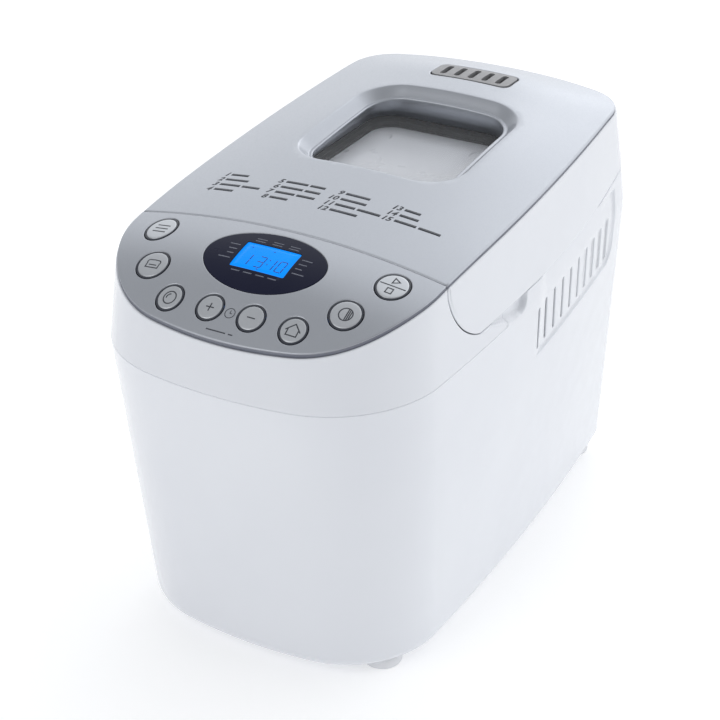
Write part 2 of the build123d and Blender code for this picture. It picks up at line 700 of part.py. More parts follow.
def chassis_frame():
    """Steel bridge under the chamber, on four folded legs that stand on the floor plate."""
    half_x, half_y = FRAME_SIZE[0] / 2, FRAME_SIZE[1] / 2
    front, rear = CHAMBER_Y - half_y, CHAMBER_Y + half_y
    frame = block((-half_x, half_x), (front, rear), (FRAME_TOP_Z - FRAME_THICK, FRAME_TOP_Z))
    for side in (-1, 1):
        for y in (front, rear - FRAME_LEG):
            leg = sorted((side * half_x, side * (half_x - FRAME_THICK)))
            toe = sorted((side * half_x, side * (half_x - FRAME_TOE)))
            frame = frame + block(leg, (y, y + FRAME_LEG), (PLATE_TOP_Z, FRAME_TOP_Z))
            frame = frame + block(toe, (y, y + FRAME_LEG), (PLATE_TOP_Z, PLATE_TOP_Z + FRAME_THICK))
    return frame - upright(0, CHAMBER_Y, FRAME_TOP_Z - 5, FRAME_TOP_Z + 5, BEARING_RADIUS)


def pan_seat():
    """Ring on the chamber's floor that the pan's base drops into, with four spring fingers."""
    floor = CHAMBER_FLOOR_Z + CHAMBER_WALL
    ring = upright(0, CHAMBER_Y, floor, floor + SEAT_HEIGHT, SEAT_RADIUS)
    ring = ring - upright(0, CHAMBER_Y, floor + SEAT_WALL, 90, SEAT_RADIUS - SEAT_WALL)
    ring = ring - upright(0, CHAMBER_Y, floor - 1, floor + 3, BEARING_RADIUS)
    for angle in range(45, 360, 90):
        for offset in (-5.0, 5.0):
            cut = Pos(SEAT_RADIUS, offset, floor + SEAT_HEIGHT / 2 + 3.0) * Box(8.0, 1.2, SEAT_HEIGHT)
            ring = ring - Pos(0, CHAMBER_Y) * Rot(0, 0, angle) * cut
    return ring


def bearing_housing():
    """Cast housing for the drive shaft, flanged under the chamber's floor."""
    top = CHAMBER_FLOOR_Z + CHAMBER_WALL
    body = upright(0, CHAMBER_Y, BEARING_LOW_Z, top, BEARING_RADIUS)
    flange = upright(0, CHAMBER_Y, FRAME_TOP_Z - FRAME_THICK - 4.0, FRAME_TOP_Z - FRAME_THICK, 28.0)
    return body + flange - upright(0, CHAMBER_Y, 30, 90, BUSH_RADIUS)


def drive_bushings():
    """Two sintered bushes in the housing."""
    top = CHAMBER_FLOOR_Z + CHAMBER_WALL
    bushes = []
    for low in (BEARING_LOW_Z, top - BUSH_LENGTH):
        bush = upright(0, CHAMBER_Y, low, low + BUSH_LENGTH, BUSH_RADIUS)
        bushes.append((bush - upright(0, CHAMBER_Y, low - 1, low + 20, SHAFT_RADIUS + RUNNING)).solids()[0])
    return Compound(children=bushes)


def drive_shaft():
    """Vertical shaft from the large pulley up to the coupler in the pan seat."""
    shaft = upright(0, CHAMBER_Y, BELT_Z - 5.0, COUPLER_Z + 4.0, SHAFT_RADIUS)
    collar = upright(0, CHAMBER_Y, BELT_Z + BELT_WIDTH + 3.5, BEARING_LOW_Z - 0.4, SHAFT_RADIUS + 2.0)
    return shaft + collar


def pulley(x, y, radius, web_radius):
    """Flanged flat-belt pulley with a lightening recess, on a shaft at x, y."""
    low, high = BELT_Z, BELT_Z + BELT_WIDTH
    rim = upright(x, y, low, high, radius)
    wheel = rim + upright(x, y, low - 1.5, low, radius + 1.6) + upright(x, y, high, high + 1.5, radius + 1.6)
    if web_radius > 0:
        recess = upright(x, y, low + 3.0, high + 5.0, radius - 5.0)
        recess = recess - upright(x, y, low, high + 6.0, web_radius)
        wheel = wheel - recess
        for angle in range(0, 360, 60):
            place = Pos(x, y, low) * Rot(0, 0, angle) * Pos((radius + web_radius) / 2, 0, 0)
            wheel = wheel - place * Cylinder(9.0, 30.0)
    return wheel - upright(x, y, low - 10, high + 10, SHAFT_RADIUS)


def large_pulley():
    """Driven pulley under the chamber."""
    return pulley(0, CHAMBER_Y, LARGE_PULLEY_RADIUS, 12.0)


def motor_pulley():
    """Small pulley on the motor's shaft."""
    return pulley(0, MOTOR_Y, SMALL_PULLEY_RADIUS, 0)


def drive_coupler():
    """Two-lug dog on top of the drive shaft."""
    dog = upright(0, CHAMBER_Y, COUPLER_Z, COUPLER_Z + 2.0, 20.0)
    for side in (-1, 1):
        lug = sorted((side * 12.0, side * 17.0))
        dog = dog + block(lug, (CHAMBER_Y - 4.0, CHAMBER_Y + 4.0), (COUPLER_Z, COUPLER_TOP_Z))
    return dog - upright(0, CHAMBER_Y, COUPLER_Z - 1, COUPLER_TOP_Z, SHAFT_RADIUS)


def belt_outline(extra):
    """Plan outline round both pulleys, outside their rims by extra."""
    big = LARGE_PULLEY_RADIUS + extra
    small = SMALL_PULLEY_RADIUS + extra
    distance = CHAMBER_Y - MOTOR_Y
    lean = math.asin((big - small) / distance)
    across, along = math.cos(lean), math.sin(lean)
    right_small = (small * across, MOTOR_Y - small * along)
    right_big = (big * across, CHAMBER_Y - big * along)
    left_small = (-right_small[0], right_small[1])
    left_big = (-right_big[0], right_big[1])
    edges = [
        Line(right_small, right_big),
        ThreePointArc(right_big, (0, CHAMBER_Y + big), left_big),
        Line(left_big, left_small),
        ThreePointArc(left_small, (0, MOTOR_Y - small), right_small),
    ]
    return make_face(Curve() + edges)


def drive_belt():
    """Flat belt round both pulleys."""
    band = belt_outline(BELT_CLEAR + BELT_THICK) - belt_outline(BELT_CLEAR)
    return Pos(0, 0, BELT_Z + 0.4) * extrude(band, BELT_WIDTH - 0.8)


def motor_housing():
    """Motor can with end caps and its bearing bores."""
    can = upright(0, MOTOR_Y, MOTOR_LOW_Z + 8, MOTOR_LOW_Z + MOTOR_HEIGHT - 8, MOTOR_RADIUS)
    caps = upright(0, MOTOR_Y, MOTOR_LOW_Z, MOTOR_LOW_Z + MOTOR_HEIGHT, MOTOR_RADIUS - 7.0)
    nose = upright(0, MOTOR_Y, MOTOR_LOW_Z - 4.0, MOTOR_LOW_Z, 10.0)
    shell = can + caps + nose
    cavity = upright(0, MOTOR_Y, MOTOR_LOW_Z + 6.0, MOTOR_LOW_Z + MOTOR_HEIGHT - 6.0, MOTOR_RADIUS - 11.0)
    bore = upright(0, MOTOR_Y, MOTOR_LOW_Z - 10, MOTOR_LOW_Z + MOTOR_HEIGHT + 10, SHAFT_RADIUS + RUNNING)
    return shell - cavity - bore


def motor_shaft():
    """Motor shaft with the rotor core pressed on it."""
    shaft = upright(0, MOTOR_Y, BELT_Z - 4.0, MOTOR_LOW_Z + MOTOR_HEIGHT + 4.0, SHAFT_RADIUS)
    rotor = upright(0, MOTOR_Y, MOTOR_LOW_Z + 14.0, MOTOR_LOW_Z + MOTOR_HEIGHT - 14.0, MOTOR_RADIUS - 12.5)
    return shaft + rotor


def motor_bracket():
    """Plate under the motor on four posts that stand on the floor plate."""
    plate_z = MOTOR_LOW_Z - MOTOR_PLATE_THICK
    plate = Pos(0, MOTOR_Y, plate_z) * extrude(RectangleRounded(96.0, 64.0, 8.0), MOTOR_PLATE_THICK)
    plate = plate - upright(0, MOTOR_Y, plate_z - 5, plate_z + 5, 10.0)
    for x in (-42.0, 42.0):
        for y in (MOTOR_Y - 26.0, MOTOR_Y + 26.0):
            plate = plate + upright(x, y, PLATE_TOP_Z, plate_z, 4.0)
    return plate


def power_board():
    """Upright power supply board beside the motor, with its relay, transformer, capacitor and stand."""
    board = block((60.0, 61.6), (-150.0, -90.0), (60.0, 140.0))
    relay = block((61.6, 78.0), (-110.0, -94.0), (100.0, 130.0))
    transformer = block((61.6, 84.0), (-146.0, -116.0), (68.0, 104.0))
    capacitor = Pos(67.0, -102.0, 78.0) * Cylinder(6.0, 26.0)
    stand = block((56.0, 60.0), (-136.0, -100.0), (PLATE_TOP_Z, 72.0))
    return joined([board, relay, transformer, capacitor, stand])


# ---------------------------------------------------------------- lid


def lid_frame():
    """White lid moulding: skirt with grip tabs, top wall under the silver panel, and hinge knuckles."""
    front_y = SPLIT_Y + SPLIT_GAP
    middle = block((-CONSOLE_INNER_X + 0.3, CONSOLE_INNER_X - 0.3), (front_y + LID_FRONT_GAP, 0),
                   (LID_EDGE_Z + LID_EDGE_RAISE, BLOCK_TOP_Z))
    outer = upper_block(0) & crown_block(TRIM_DEPTH) & (above_lid_edge() + middle)
    hollow = upper_block(WALL) & crown_block(TRIM_DEPTH + WALL)
    hollow = hollow & slab((front_y + LID_FRONT_GAP + WALL, EVERYWHERE), (0, BLOCK_TOP_Z))
    relief = block((-CONSOLE_INNER_X, CONSOLE_INNER_X), (SPLIT_Y - 1, front_y + LID_FRONT_GAP),
                   (0, HINGE_Z + 14.0))
    frame = outer - hollow - relief
    frame = frame - rounded_block(grown(WINDOW_SIZE, 0.5), WINDOW_ROUND, WINDOW_Y, (SEAM_Z, BLOCK_TOP_Z))
    frame = frame - rounded_block(grown(VENT_SIZE, -2.0), VENT_ROUND, VENT_Y, (SEAM_Z, BLOCK_TOP_Z))
    for side in (-1, 1):
        for span in BODY_KNUCKLE_X:
            frame = frame - knuckle_clearance(span, side)
        frame = frame + hinge_knuckle(LID_KNUCKLE_X, side, HINGE_Z + 14.0)
        frame = frame - hinge_bore(side, PIN_RADIUS + RUNNING)
    for x, y in LID_SCREW_PLACES:
        post = upright(x, y, LINER_Z + LINER_THICK, BLOCK_TOP_Z, 5.0) & crown_block(TRIM_DEPTH + WALL / 2)
        frame = frame + post - upright(x, y, LINER_Z, LINER_Z + 12.0, SCREW_RADIUS)
    return frame.solids().sort_by(SortBy.VOLUME)[-1]


def lid_top_panel():
    """Silver crowned panel on the lid, with openings for the window bezel and the steam vent."""
    panel = crown_block(0) - crown_block(PANEL_THICK)
    panel = panel & upper_block(TRIM_INSET) & slab((SPLIT_Y + SPLIT_GAP, EVERYWHERE), (SEAM_Z, BLOCK_TOP_Z))
    panel = panel - rounded_block(WINDOW_SIZE, WINDOW_ROUND, WINDOW_Y, (SEAM_Z, BLOCK_TOP_Z))
    panel = panel - rounded_block(VENT_SIZE, VENT_ROUND, VENT_Y, (SEAM_Z, BLOCK_TOP_Z))
    return panel.solids().sort_by(SortBy.VOLUME)[-1]


def funnel(inset):
    """Solid inside the window recess's sloping walls, moved in by inset."""
    low = Pos(0, WINDOW_Y, BEZEL_BOTTOM_Z) * RectangleRounded(
        *grown(BEZEL_BOTTOM, BEZEL_WALL - inset), BEZEL_ROUND + BEZEL_WALL - inset)
    high = Pos(0, WINDOW_Y, BEZEL_TOP_Z) * RectangleRounded(*grown(WINDOW_SIZE, -inset), WINDOW_ROUND - inset)
    return loft([low, high], ruled=True)


def window_bezel():
    """Silver recess round the window: a flange flush with the lid, sloping walls and a ledge for the pane."""
    flange = rounded_block(WINDOW_SIZE, WINDOW_ROUND, WINDOW_Y, (SEAM_Z, BLOCK_TOP_Z))
    flange = (crown_block(0) - crown_block(PANEL_THICK)) & flange
    walls = funnel(0) & crown_block(0)
    ledge = rounded_block(grown(BEZEL_BOTTOM, BEZEL_WALL), BEZEL_ROUND + BEZEL_WALL, WINDOW_Y,
                          (BEZEL_BOTTOM_Z - BEZEL_LEDGE_THICK, BEZEL_BOTTOM_Z))
    sight = rounded_block(grown(BEZEL_BOTTOM, -BEZEL_LEDGE), GLASS_ROUND, WINDOW_Y, (SEAM_Z, BLOCK_TOP_Z))
    return flange + walls - funnel(BEZEL_WALL) + (ledge - sight)


def window_glass_outer():
    """Outer window pane, resting on the bezel's ledge."""
    return rounded_block(grown(BEZEL_BOTTOM, -GLASS_GAP), BEZEL_ROUND - GLASS_GAP, WINDOW_Y,
                         (BEZEL_BOTTOM_Z, BEZEL_BOTTOM_Z + OUTER_GLASS_THICK))


def window_gasket():
    """Dark stepped frame that holds the inner pane under the bezel's ledge."""
    low, high = INNER_GLASS_Z - GASKET_LIP, INNER_GLASS_Z + INNER_GLASS_THICK
    outer = rounded_block(grown(INNER_GLASS, GASKET_WIDTH), GLASS_ROUND + GASKET_WIDTH, WINDOW_Y,
                          (low, BEZEL_BOTTOM_Z - BEZEL_LEDGE_THICK))
    pane = rounded_block(INNER_GLASS, GLASS_ROUND, WINDOW_Y, (INNER_GLASS_Z, high))
    sight = rounded_block(grown(INNER_GLASS, -GASKET_WIDTH), GLASS_ROUND - 2.0, WINDOW_Y,
                          (SEAM_Z, BLOCK_TOP_Z))
    step = rounded_block(INNER_GLASS, GLASS_ROUND, WINDOW_Y, (high + GASKET_LIP, BLOCK_TOP_Z))
    return outer - pane - sight - step


def window_glass_inner():
    """Inner heat-resistant pane."""
    return rounded_block(INNER_GLASS, GLASS_ROUND, WINDOW_Y,
                         (INNER_GLASS_Z, INNER_GLASS_Z + INNER_GLASS_THICK))


def lid_liner():
    """Metal inner cover of the lid, with a collar up to the inner pane and slots for the steam."""
    plate = extrude(wall_face(WALL + 4.4, LINER_Z), LINER_THICK)
    plate = plate & slab((SPLIT_Y + 7.4, HINGE_Y - 9.0), (0, BLOCK_TOP_Z))
    for side in (-1, 1):
        wing = sorted((side * (CONSOLE_INNER_X - 2.0), side * EVERYWHERE))
        plate = plate - block(wing, (-EVERYWHERE, LINER_SHOULDER_Y), (SEAM_Z, BLOCK_TOP_Z))
    collar_size = grown(INNER_GLASS, GASKET_WIDTH)
    collar_round = GLASS_ROUND + GASKET_WIDTH
    collar = rounded_block(collar_size, collar_round, WINDOW_Y, (LINER_Z, INNER_GLASS_Z - GASKET_LIP))
    inside = rounded_block(grown(collar_size, -LINER_THICK), collar_round - LINER_THICK, WINDOW_Y,
                           (SEAM_Z, BLOCK_TOP_Z))
    liner = plate + collar - inside
    for column in range(5):
        slot = extrude(SlotOverall(12.0, 4.0, rotation=90), 6.0)
        liner = liner - Pos((column - 2) * 11.0, STEAM_SLOT_Y, LINER_Z - 2) * slot
    return holes(liner, LID_SCREW_PLACES, SEAM_Z, LINER_Z + 20, SCREW_RADIUS)


def lid_seal():
    """Silicone ring under the liner that closes on the chamber's rim."""
    outer_size = grown(CHAMBER_SIZE, SEAL_MARGIN)
    outer = rounded_block(outer_size, CHAMBER_ROUND + SEAL_MARGIN, CHAMBER_Y, (SEAL_LOW_Z, LINER_Z))
    inner = rounded_block(grown(outer_size, -SEAL_WIDTH), CHAMBER_ROUND + SEAL_MARGIN - SEAL_WIDTH, CHAMBER_Y,
                          (SEAM_Z, BLOCK_TOP_Z))
    return outer - inner


def lid_vent_grille():
    """Slotted steam outlet set in the lid's top."""
    plate = crown_block(-VENT_PROUD) - crown_block(TRIM_DEPTH)
    plate = plate & rounded_block(grown(VENT_SIZE, -0.3), VENT_ROUND - 0.3, VENT_Y, (SEAM_Z, BLOCK_TOP_Z + 5))
    for column in range(5):
        slot = extrude(SlotOverall(17.0, 4.4, rotation=90), 60.0)
        plate = plate - Pos((column - 2) * 10.6, VENT_Y, 250.0) * slot
    return plate.solids().sort_by(SortBy.VOLUME)[-1]


# ---------------------------------------------------------------- pan


def pan_solid(inset, z_low, z_high, floor_round):
    """Tapered pan form moved in by inset."""
    shrink = PAN_TAPER * (PAN_TOP_Z - z_low) / (PAN_TOP_Z - PAN_FLOOR_Z)
    low_round = PAN_ROUND - inset - shrink / 2
    low = Pos(0, CHAMBER_Y, z_low) * RectangleRounded(*grown(PAN_SIZE, -inset - shrink), low_round)
    high = Pos(0, CHAMBER_Y, z_high) * RectangleRounded(*grown(PAN_SIZE, -inset), PAN_ROUND - inset)
    solid = loft([low, high], ruled=True)
    return fillet(solid.faces().sort_by(Axis.Z)[0].edges(), floor_round)


def bread_pan():
    """Coated loaf pan, tapered, with a rolled rim."""
    outer = pan_solid(0, PAN_FLOOR_Z, PAN_TOP_Z, 6.0)
    inner = pan_solid(PAN_WALL, PAN_FLOOR_Z + PAN_WALL, PAN_TOP_Z + 0.01, 6.0 - PAN_WALL)
    rim = rounded_block(grown(PAN_SIZE, PAN_RIM), PAN_ROUND + PAN_RIM, CHAMBER_Y,
                        (PAN_TOP_Z - 3.0, PAN_TOP_Z))
    rim = rim - rounded_block(grown(PAN_SIZE, -PAN_WALL), PAN_ROUND - PAN_WALL, CHAMBER_Y, (150, 250))
    pan = outer - inner + rim
    return pan - upright(0, CHAMBER_Y, PAN_FLOOR_Z - 5, PAN_FLOOR_Z + 5, PAN_BUSH_RADIUS)


def pan_base_ring():
    """Foot ring under the pan that drops into the seat."""
    low = CHAMBER_FLOOR_Z + CHAMBER_WALL + SEAT_WALL + 0.3
    outer = upright(0, CHAMBER_Y, low, PAN_FLOOR_Z, SEAT_RADIUS - SEAT_WALL - 1.5)
    return outer - upright(0, CHAMBER_Y, 60, PAN_FLOOR_Z + 5, SEAT_RADIUS - SEAT_WALL - 4.0)


def pan_bushing():
    """Sealed bush for the pan's shaft, clamped through the floor."""
    body = upright(0, CHAMBER_Y, PAN_FLOOR_Z - 3.0, PAN_FLOOR_Z + 6.0, PAN_BUSH_RADIUS)
    flange = upright(0, CHAMBER_Y, PAN_FLOOR_Z + PAN_WALL, PAN_FLOOR_Z + PAN_WALL + 2.0, 14.0)
    return body + flange - upright(0, CHAMBER_Y, 60, 120, SHAFT_RADIUS + RUNNING)


def pan_shaft():
    """Kneading shaft with a flat at its top for the paddle."""
    shaft = upright(0, CHAMBER_Y, COUPLING_Z, PAN_FLOOR_Z + 28.0, SHAFT_RADIUS)
    flat = block((SHAFT_RADIUS - SHAFT_FLAT, 10.0), (CHAMBER_Y - 8, CHAMBER_Y + 8), (PADDLE_LOW_Z, 130))
    return shaft - flat


def pan_coupling():
    """Cross bar under the pan that the drive's lugs turn."""
    hub = upright(0, CHAMBER_Y, COUPLING_Z, PAN_FLOOR_Z - 3.6, 7.0)
    bar = block((-3.0, 3.0), (CHAMBER_Y - 18.0, CHAMBER_Y + 18.0), (COUPLING_Z, COUPLING_Z + 3.4))
    return hub + bar - upright(0, CHAMBER_Y, 60, 100, SHAFT_RADIUS)


def kneading_paddle():
    """Removable paddle: a hub with a D-shaped bore and one blade with a foot."""
    reach = (CHAMBER_Y + SHAFT_RADIUS + 2.0, CHAMBER_Y + PADDLE_REACH)
    hub = upright(0, CHAMBER_Y, PADDLE_LOW_Z, PADDLE_LOW_Z + PADDLE_HEIGHT, 8.5)
    blade = block((-2.0, 2.0), reach, (PADDLE_LOW_Z, PADDLE_LOW_Z + PADDLE_BLADE_HEIGHT))
    tip_edge = blade.edges().filter_by(Axis.X).sort_by(Axis.Y)[-2:].sort_by(Axis.Z)[-1]
    blade = fillet(tip_edge, 12.0)
    foot_plate = block((-2.0, 12.0), reach, (PADDLE_LOW_Z, PADDLE_LOW_Z + 2.5))
    bore = upright(0, CHAMBER_Y, PADDLE_LOW_Z - 5, 140, SHAFT_RADIUS + RUNNING)
    flat_x = SHAFT_RADIUS - SHAFT_FLAT + RUNNING
    bore = bore - block((flat_x, 10.0), (CHAMBER_Y - 8, CHAMBER_Y + 8), (PADDLE_LOW_Z - 5, 140))
    return hub + blade + foot_plate - bore


def bail_lugs():
    """Two riveted ears at the pan's ends, each with the bail's pivot hole."""
    ear = Pos(0, 0, -7.0) * Box(16.0, LUG_THICK, 14.0)
    ear = ear + Rot(90, 0, 0) * Cylinder(4.8, LUG_THICK) - Rot(90, 0, 0) * Cylinder(BAIL_WIRE + RUNNING, 10.0)
    near = PAN_SIZE[1] / 2 + PAN_RIM + LUG_THICK / 2
    lugs = [(Pos(0, CHAMBER_Y + side * near, BAIL_Z) * ear).solids()[0] for side in (-1, 1)]
    return Compound(children=lugs)


def pan_bail():
    """Wire handle of the pan, folded down flat over one side at rest."""
    half = BAIL_HALF
    out = half + 5.2
    slant = half - 16.0
    points = [(0, out), (0, half), (BAIL_REACH, slant), (BAIL_REACH, -slant), (0, -half), (0, -out)]
    path = FilletPolyline(*[(x, CHAMBER_Y + y, BAIL_Z) for x, y in points], radius=[2.6, 14.0, 14.0, 2.6])
    section = Plane((0, CHAMBER_Y + out, BAIL_Z), z_dir=(0, -1, 0)) * Circle(BAIL_WIRE)
    return sweep(section, path=path)


def main():
    """Builds and writes every sub-part."""
    makers = [
        lower_body_shell, console_cover, control_panel, display_lens, lcd_module, control_board,
        tact_switches, base_plate, cord_gland, top_deck, chamber_liner, heating_element, element_insulators,
        temperature_sensor, chassis_frame, pan_seat, bearing_housing, drive_bushings, motor_housing,
        motor_bracket, drive_belt, power_board, drive_shaft, large_pulley, drive_coupler, motor_shaft, motor_pulley,
        lid_frame, lid_top_panel, window_bezel, window_glass_outer, window_gasket, window_glass_inner,
        lid_liner, lid_seal, lid_vent_grille,
        bread_pan, pan_base_ring, pan_bushing, pan_shaft, pan_coupling, kneading_paddle, bail_lugs, pan_bail,
    ]
    for maker in makers:
        save(maker(), maker.__name__)
    for node, (x, y) in FOOT_PLACES.items():
        save(foot(x, y), node)
    for node, numbers in BUTTONS.items():
        save(button_cap(*numbers), node)
    save(screws(BASE_SCREW_PLACES, BODY_BOTTOM_Z, PLATE_Z + 8.0), "base_screws")
    save(screws(CONSOLE_SCREW_PLACES, SEAM_Z - 0.4, SEAM_Z + 8.0), "console_screws")
    save(screws(LID_SCREW_PLACES, LINER_Z, LINER_Z + 12.0), "lid_screws")
    pins = [hinge_bore(side, PIN_RADIUS).solids()[0] for side in (-1, 1)]
    save(Compound(children=pins), "hinge_pins")


main()
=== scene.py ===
"""Looks for the bread machine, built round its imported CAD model.

Blender objects are in metres in the CAD frame: +Z up, console towards -Y. The shape functions below work in
millimetres, and make_piece turns them into metres.
"""
import cmath
import json
import math

import bmesh
import bpy
import numpy as np
from mathutils import Matrix, Vector, geometry
from mathutils.kdtree import KDTree


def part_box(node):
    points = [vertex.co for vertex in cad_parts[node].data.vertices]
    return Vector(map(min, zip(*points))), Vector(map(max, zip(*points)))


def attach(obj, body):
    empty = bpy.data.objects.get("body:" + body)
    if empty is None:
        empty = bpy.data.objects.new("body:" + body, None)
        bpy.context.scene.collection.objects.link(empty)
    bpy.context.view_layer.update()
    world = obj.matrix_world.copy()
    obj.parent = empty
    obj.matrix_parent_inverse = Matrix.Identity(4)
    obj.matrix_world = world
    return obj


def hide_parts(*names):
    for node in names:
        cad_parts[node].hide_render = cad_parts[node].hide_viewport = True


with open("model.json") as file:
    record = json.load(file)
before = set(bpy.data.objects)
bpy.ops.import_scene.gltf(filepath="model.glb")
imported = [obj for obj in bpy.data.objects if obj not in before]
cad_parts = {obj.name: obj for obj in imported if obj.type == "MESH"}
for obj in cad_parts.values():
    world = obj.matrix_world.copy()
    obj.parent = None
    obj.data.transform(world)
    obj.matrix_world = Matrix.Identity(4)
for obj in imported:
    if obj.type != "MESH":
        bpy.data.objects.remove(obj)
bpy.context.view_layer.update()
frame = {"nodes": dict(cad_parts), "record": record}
MM = 0.001


def node_box(node):
    """Lowest and highest corners of a CAD node in millimetres."""
    low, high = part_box(node)
    return low / MM, high / MM


# ------------------------------------------------------------------ driving dimensions, in millimetres

BODY_LOW, BODY_HIGH = node_box("lower_body_shell")
VENT_LOW, VENT_HIGH = node_box("lid_vent_grille")
HALF_WIDTH = BODY_HIGH.x
HALF_LENGTH = BODY_HIGH.y
# height of the seam under the console, where the outline is widest
SEAM_Z = node_box("console_cover")[0].z
BOTTOM_Z = BODY_LOW.z - 4.5
# the line between the console and the lid
SPLIT_Y = (node_box("control_panel")[1].y + node_box("lid_top_panel")[0].y) / 2
SPLIT_TOP_Z = 262.0
SPLIT_GAP = 0.8
SPLIT_BOW = 4.2
SPLIT_HALF_X = 106.0
# radii of the outline's sides, ends and corners at the seam
SIDE_RADIUS = 1967.0
FRONT_RADIUS = 284.0
REAR_RADIUS = 326.0
FRONT_CORNER = 76.0
REAR_CORNER = 26.0
# how far the side, the front and the rear lean in for each millimetre above or below the seam
UPPER_LEAN = (0.085, 0.18, 0.18)
LOWER_LEAN = (0.043, 0.133, 0.004)
LEAST_CORNER = 1.0
CORNER_GROWTH = 0.0021
BOTTOM_ROUND = 6.0
WALL = 2.4
# the crown: height along its edge and rise to its middle, at several places along Y
CROWN_HALF = 115.0
CROWN_Y = (-206.0, -180.0, -150.0, -109.0, -40.0, 54.0, 120.0, 160.0, 186.0, 206.0)
CROWN_EDGE = (233.0, 243.0, 255.5, 263.7, 268.8, 273.7, 276.8, 278.5, 280.0, 281.2)
CROWN_RISE = (0.2, 5.5, 8.8, 9.3, 11.7, 15.3, 15.2, 12.3, 5.0, 3.5)
TRIM_DEPTH = 2.4
TRIM_INSET = 0.6
LID_EDGE_Z = 218.5
LID_EDGE_RADIUS = 826.0
CONSOLE_END_Y = -40.0
TAB_LOW_Y = -76.0
TAB_MIDDLE = (-97.4, 231.2)
TAB_HIGH_Z = 256.0
# points closer than this are welded
WELD = 0.002


def columns(*values):
    """Puts coordinates side by side as points."""
    return np.stack(values, axis=-1)


# ------------------------------------------------------------------ surfaces


def natural_spline(xs, ys):
    """Smooth curve through the given points, as a function of an array."""
    xs, ys = np.array(xs), np.array(ys)
    count = len(xs)
    gaps = np.diff(xs)
    matrix = np.eye(count)
    right = np.zeros(count)
    for i in range(1, count - 1):
        matrix[i, i - 1:i + 2] = gaps[i - 1], 2 * (gaps[i - 1] + gaps[i]), gaps[i]
        right[i] = 6 * ((ys[i + 1] - ys[i]) / gaps[i] - (ys[i] - ys[i - 1]) / gaps[i - 1])
    bend = np.linalg.solve(matrix, right)

    def curve(x):
        x = np.clip(x, xs[0], xs[-1])
        i = np.clip(np.searchsorted(xs, x) - 1, 0, count - 2)
        gap = gaps[i]
        low, high = (xs[i + 1] - x) / gap, (x - xs[i]) / gap
        arch = ((low ** 3 - low) * bend[i] + (high ** 3 - high) * bend[i + 1]) * gap ** 2 / 6
        return low * ys[i] + high * ys[i + 1] + arch

    return curve


crown_edge = natural_spline(CROWN_Y, CROWN_EDGE)
crown_rise = natural_spline(CROWN_Y, CROWN_RISE)


def crown_z(x, y):
    """Height of the silver top surface."""
    return crown_edge(y) + crown_rise(y) * (1 - (x / CROWN_HALF) ** 2)


def split_line(x, y):
    """The split between console and lid: y at the sides, bowed back in the middle."""
    return y + SPLIT_BOW * (1 - np.clip(np.abs(x) / SPLIT_HALF_X, 0, 1) ** 2)


def smooth_step(low, high, value):
    """Goes smoothly from 0 at low to 1 at high."""
    share = np.clip((value - low) / (high - low), 0, 1)
    return share * share * (3 - 2 * share)


def corner_arcs(z, inset, y_sign):
    """Arc centres, tangent points and lengths of a quarter outline, front (y_sign -1) or rear (+1)."""
    rise = np.abs(z - SEAM_Z)
    upper = z >= SEAM_Z
    end = 1 if y_sign < 0 else 2
    side_lean = np.where(upper, UPPER_LEAN[0], LOWER_LEAN[0]) * rise
    end_lean = np.where(upper, UPPER_LEAN[end], LOWER_LEAN[end]) * rise
    end_radius = FRONT_RADIUS if y_sign < 0 else REAR_RADIUS
    corner = (FRONT_CORNER if y_sign < 0 else REAR_CORNER + CORNER_GROWTH * (upper * rise) ** 2) - side_lean
    corner = np.maximum(corner - inset, LEAST_CORNER)
    side_x = HALF_WIDTH - inset - side_lean - SIDE_RADIUS
    end_y = HALF_LENGTH - inset - end_lean - end_radius
    reach_side = SIDE_RADIUS - corner
    reach_end = end_radius - corner
    # the corner's centre lies at reach_side from (side_x, 0) and at reach_end from (0, end_y)
    gap = np.hypot(side_x, end_y)
    along = (reach_side ** 2 - reach_end ** 2 + gap ** 2) / (2 * gap)
    across = np.sqrt(reach_side ** 2 - along ** 2)
    unit_x, unit_y = -side_x / gap, end_y / gap
    center_x = side_x + along * unit_x - across * unit_y
    center_y = along * unit_y + across * unit_x
    side_angle = np.arctan2(center_y, center_x - side_x)
    end_angle = np.arctan2(center_x, center_y - end_y)
    side_length = SIDE_RADIUS * side_angle
    corner_length = corner * (math.pi / 2 - side_angle - end_angle)
    end_length = end_radius * end_angle
    return (side_x, end_y, end_radius, corner, center_x, center_y, side_angle,
            side_length, corner_length, end_length)


def quarter_length(z, y_sign):
    """Length of the quarter outline from the middle of the side to the middle of the end."""
    return sum(corner_arcs(z, 0.0, y_sign)[-3:])


FRONT_LENGTH = float(quarter_length(np.array(SEAM_Z), -1))
REAR_LENGTH = float(quarter_length(np.array(SEAM_Z), 1))


def outline_point(s, z, inset, y_sign):
    """Point on the right half of the outline. s is the distance from the side's middle, as at the seam."""
    arcs = corner_arcs(z, inset, y_sign)
    side_x, end_y, end_radius, corner, cx, cy, side_angle, side_len, corner_len, end_len = arcs
    reference = FRONT_LENGTH if y_sign < 0 else REAR_LENGTH
    total = side_len + corner_len + end_len
    run = s / reference * total
    on_side = run / SIDE_RADIUS
    in_corner = side_angle + np.clip(run - side_len, 0, None) / corner
    to_middle = (total - run) / end_radius
    x = np.where(run < side_len, side_x + SIDE_RADIUS * np.cos(on_side), cx + corner * np.cos(in_corner))
    y = np.where(run < side_len, SIDE_RADIUS * np.sin(on_side), cy + corner * np.sin(in_corner))
    at_end = run > side_len + corner_len
    x = np.where(at_end, end_radius * np.sin(to_middle), x)
    y = np.where(at_end, end_y + end_radius * np.cos(to_middle), y)
    return x, y * y_sign


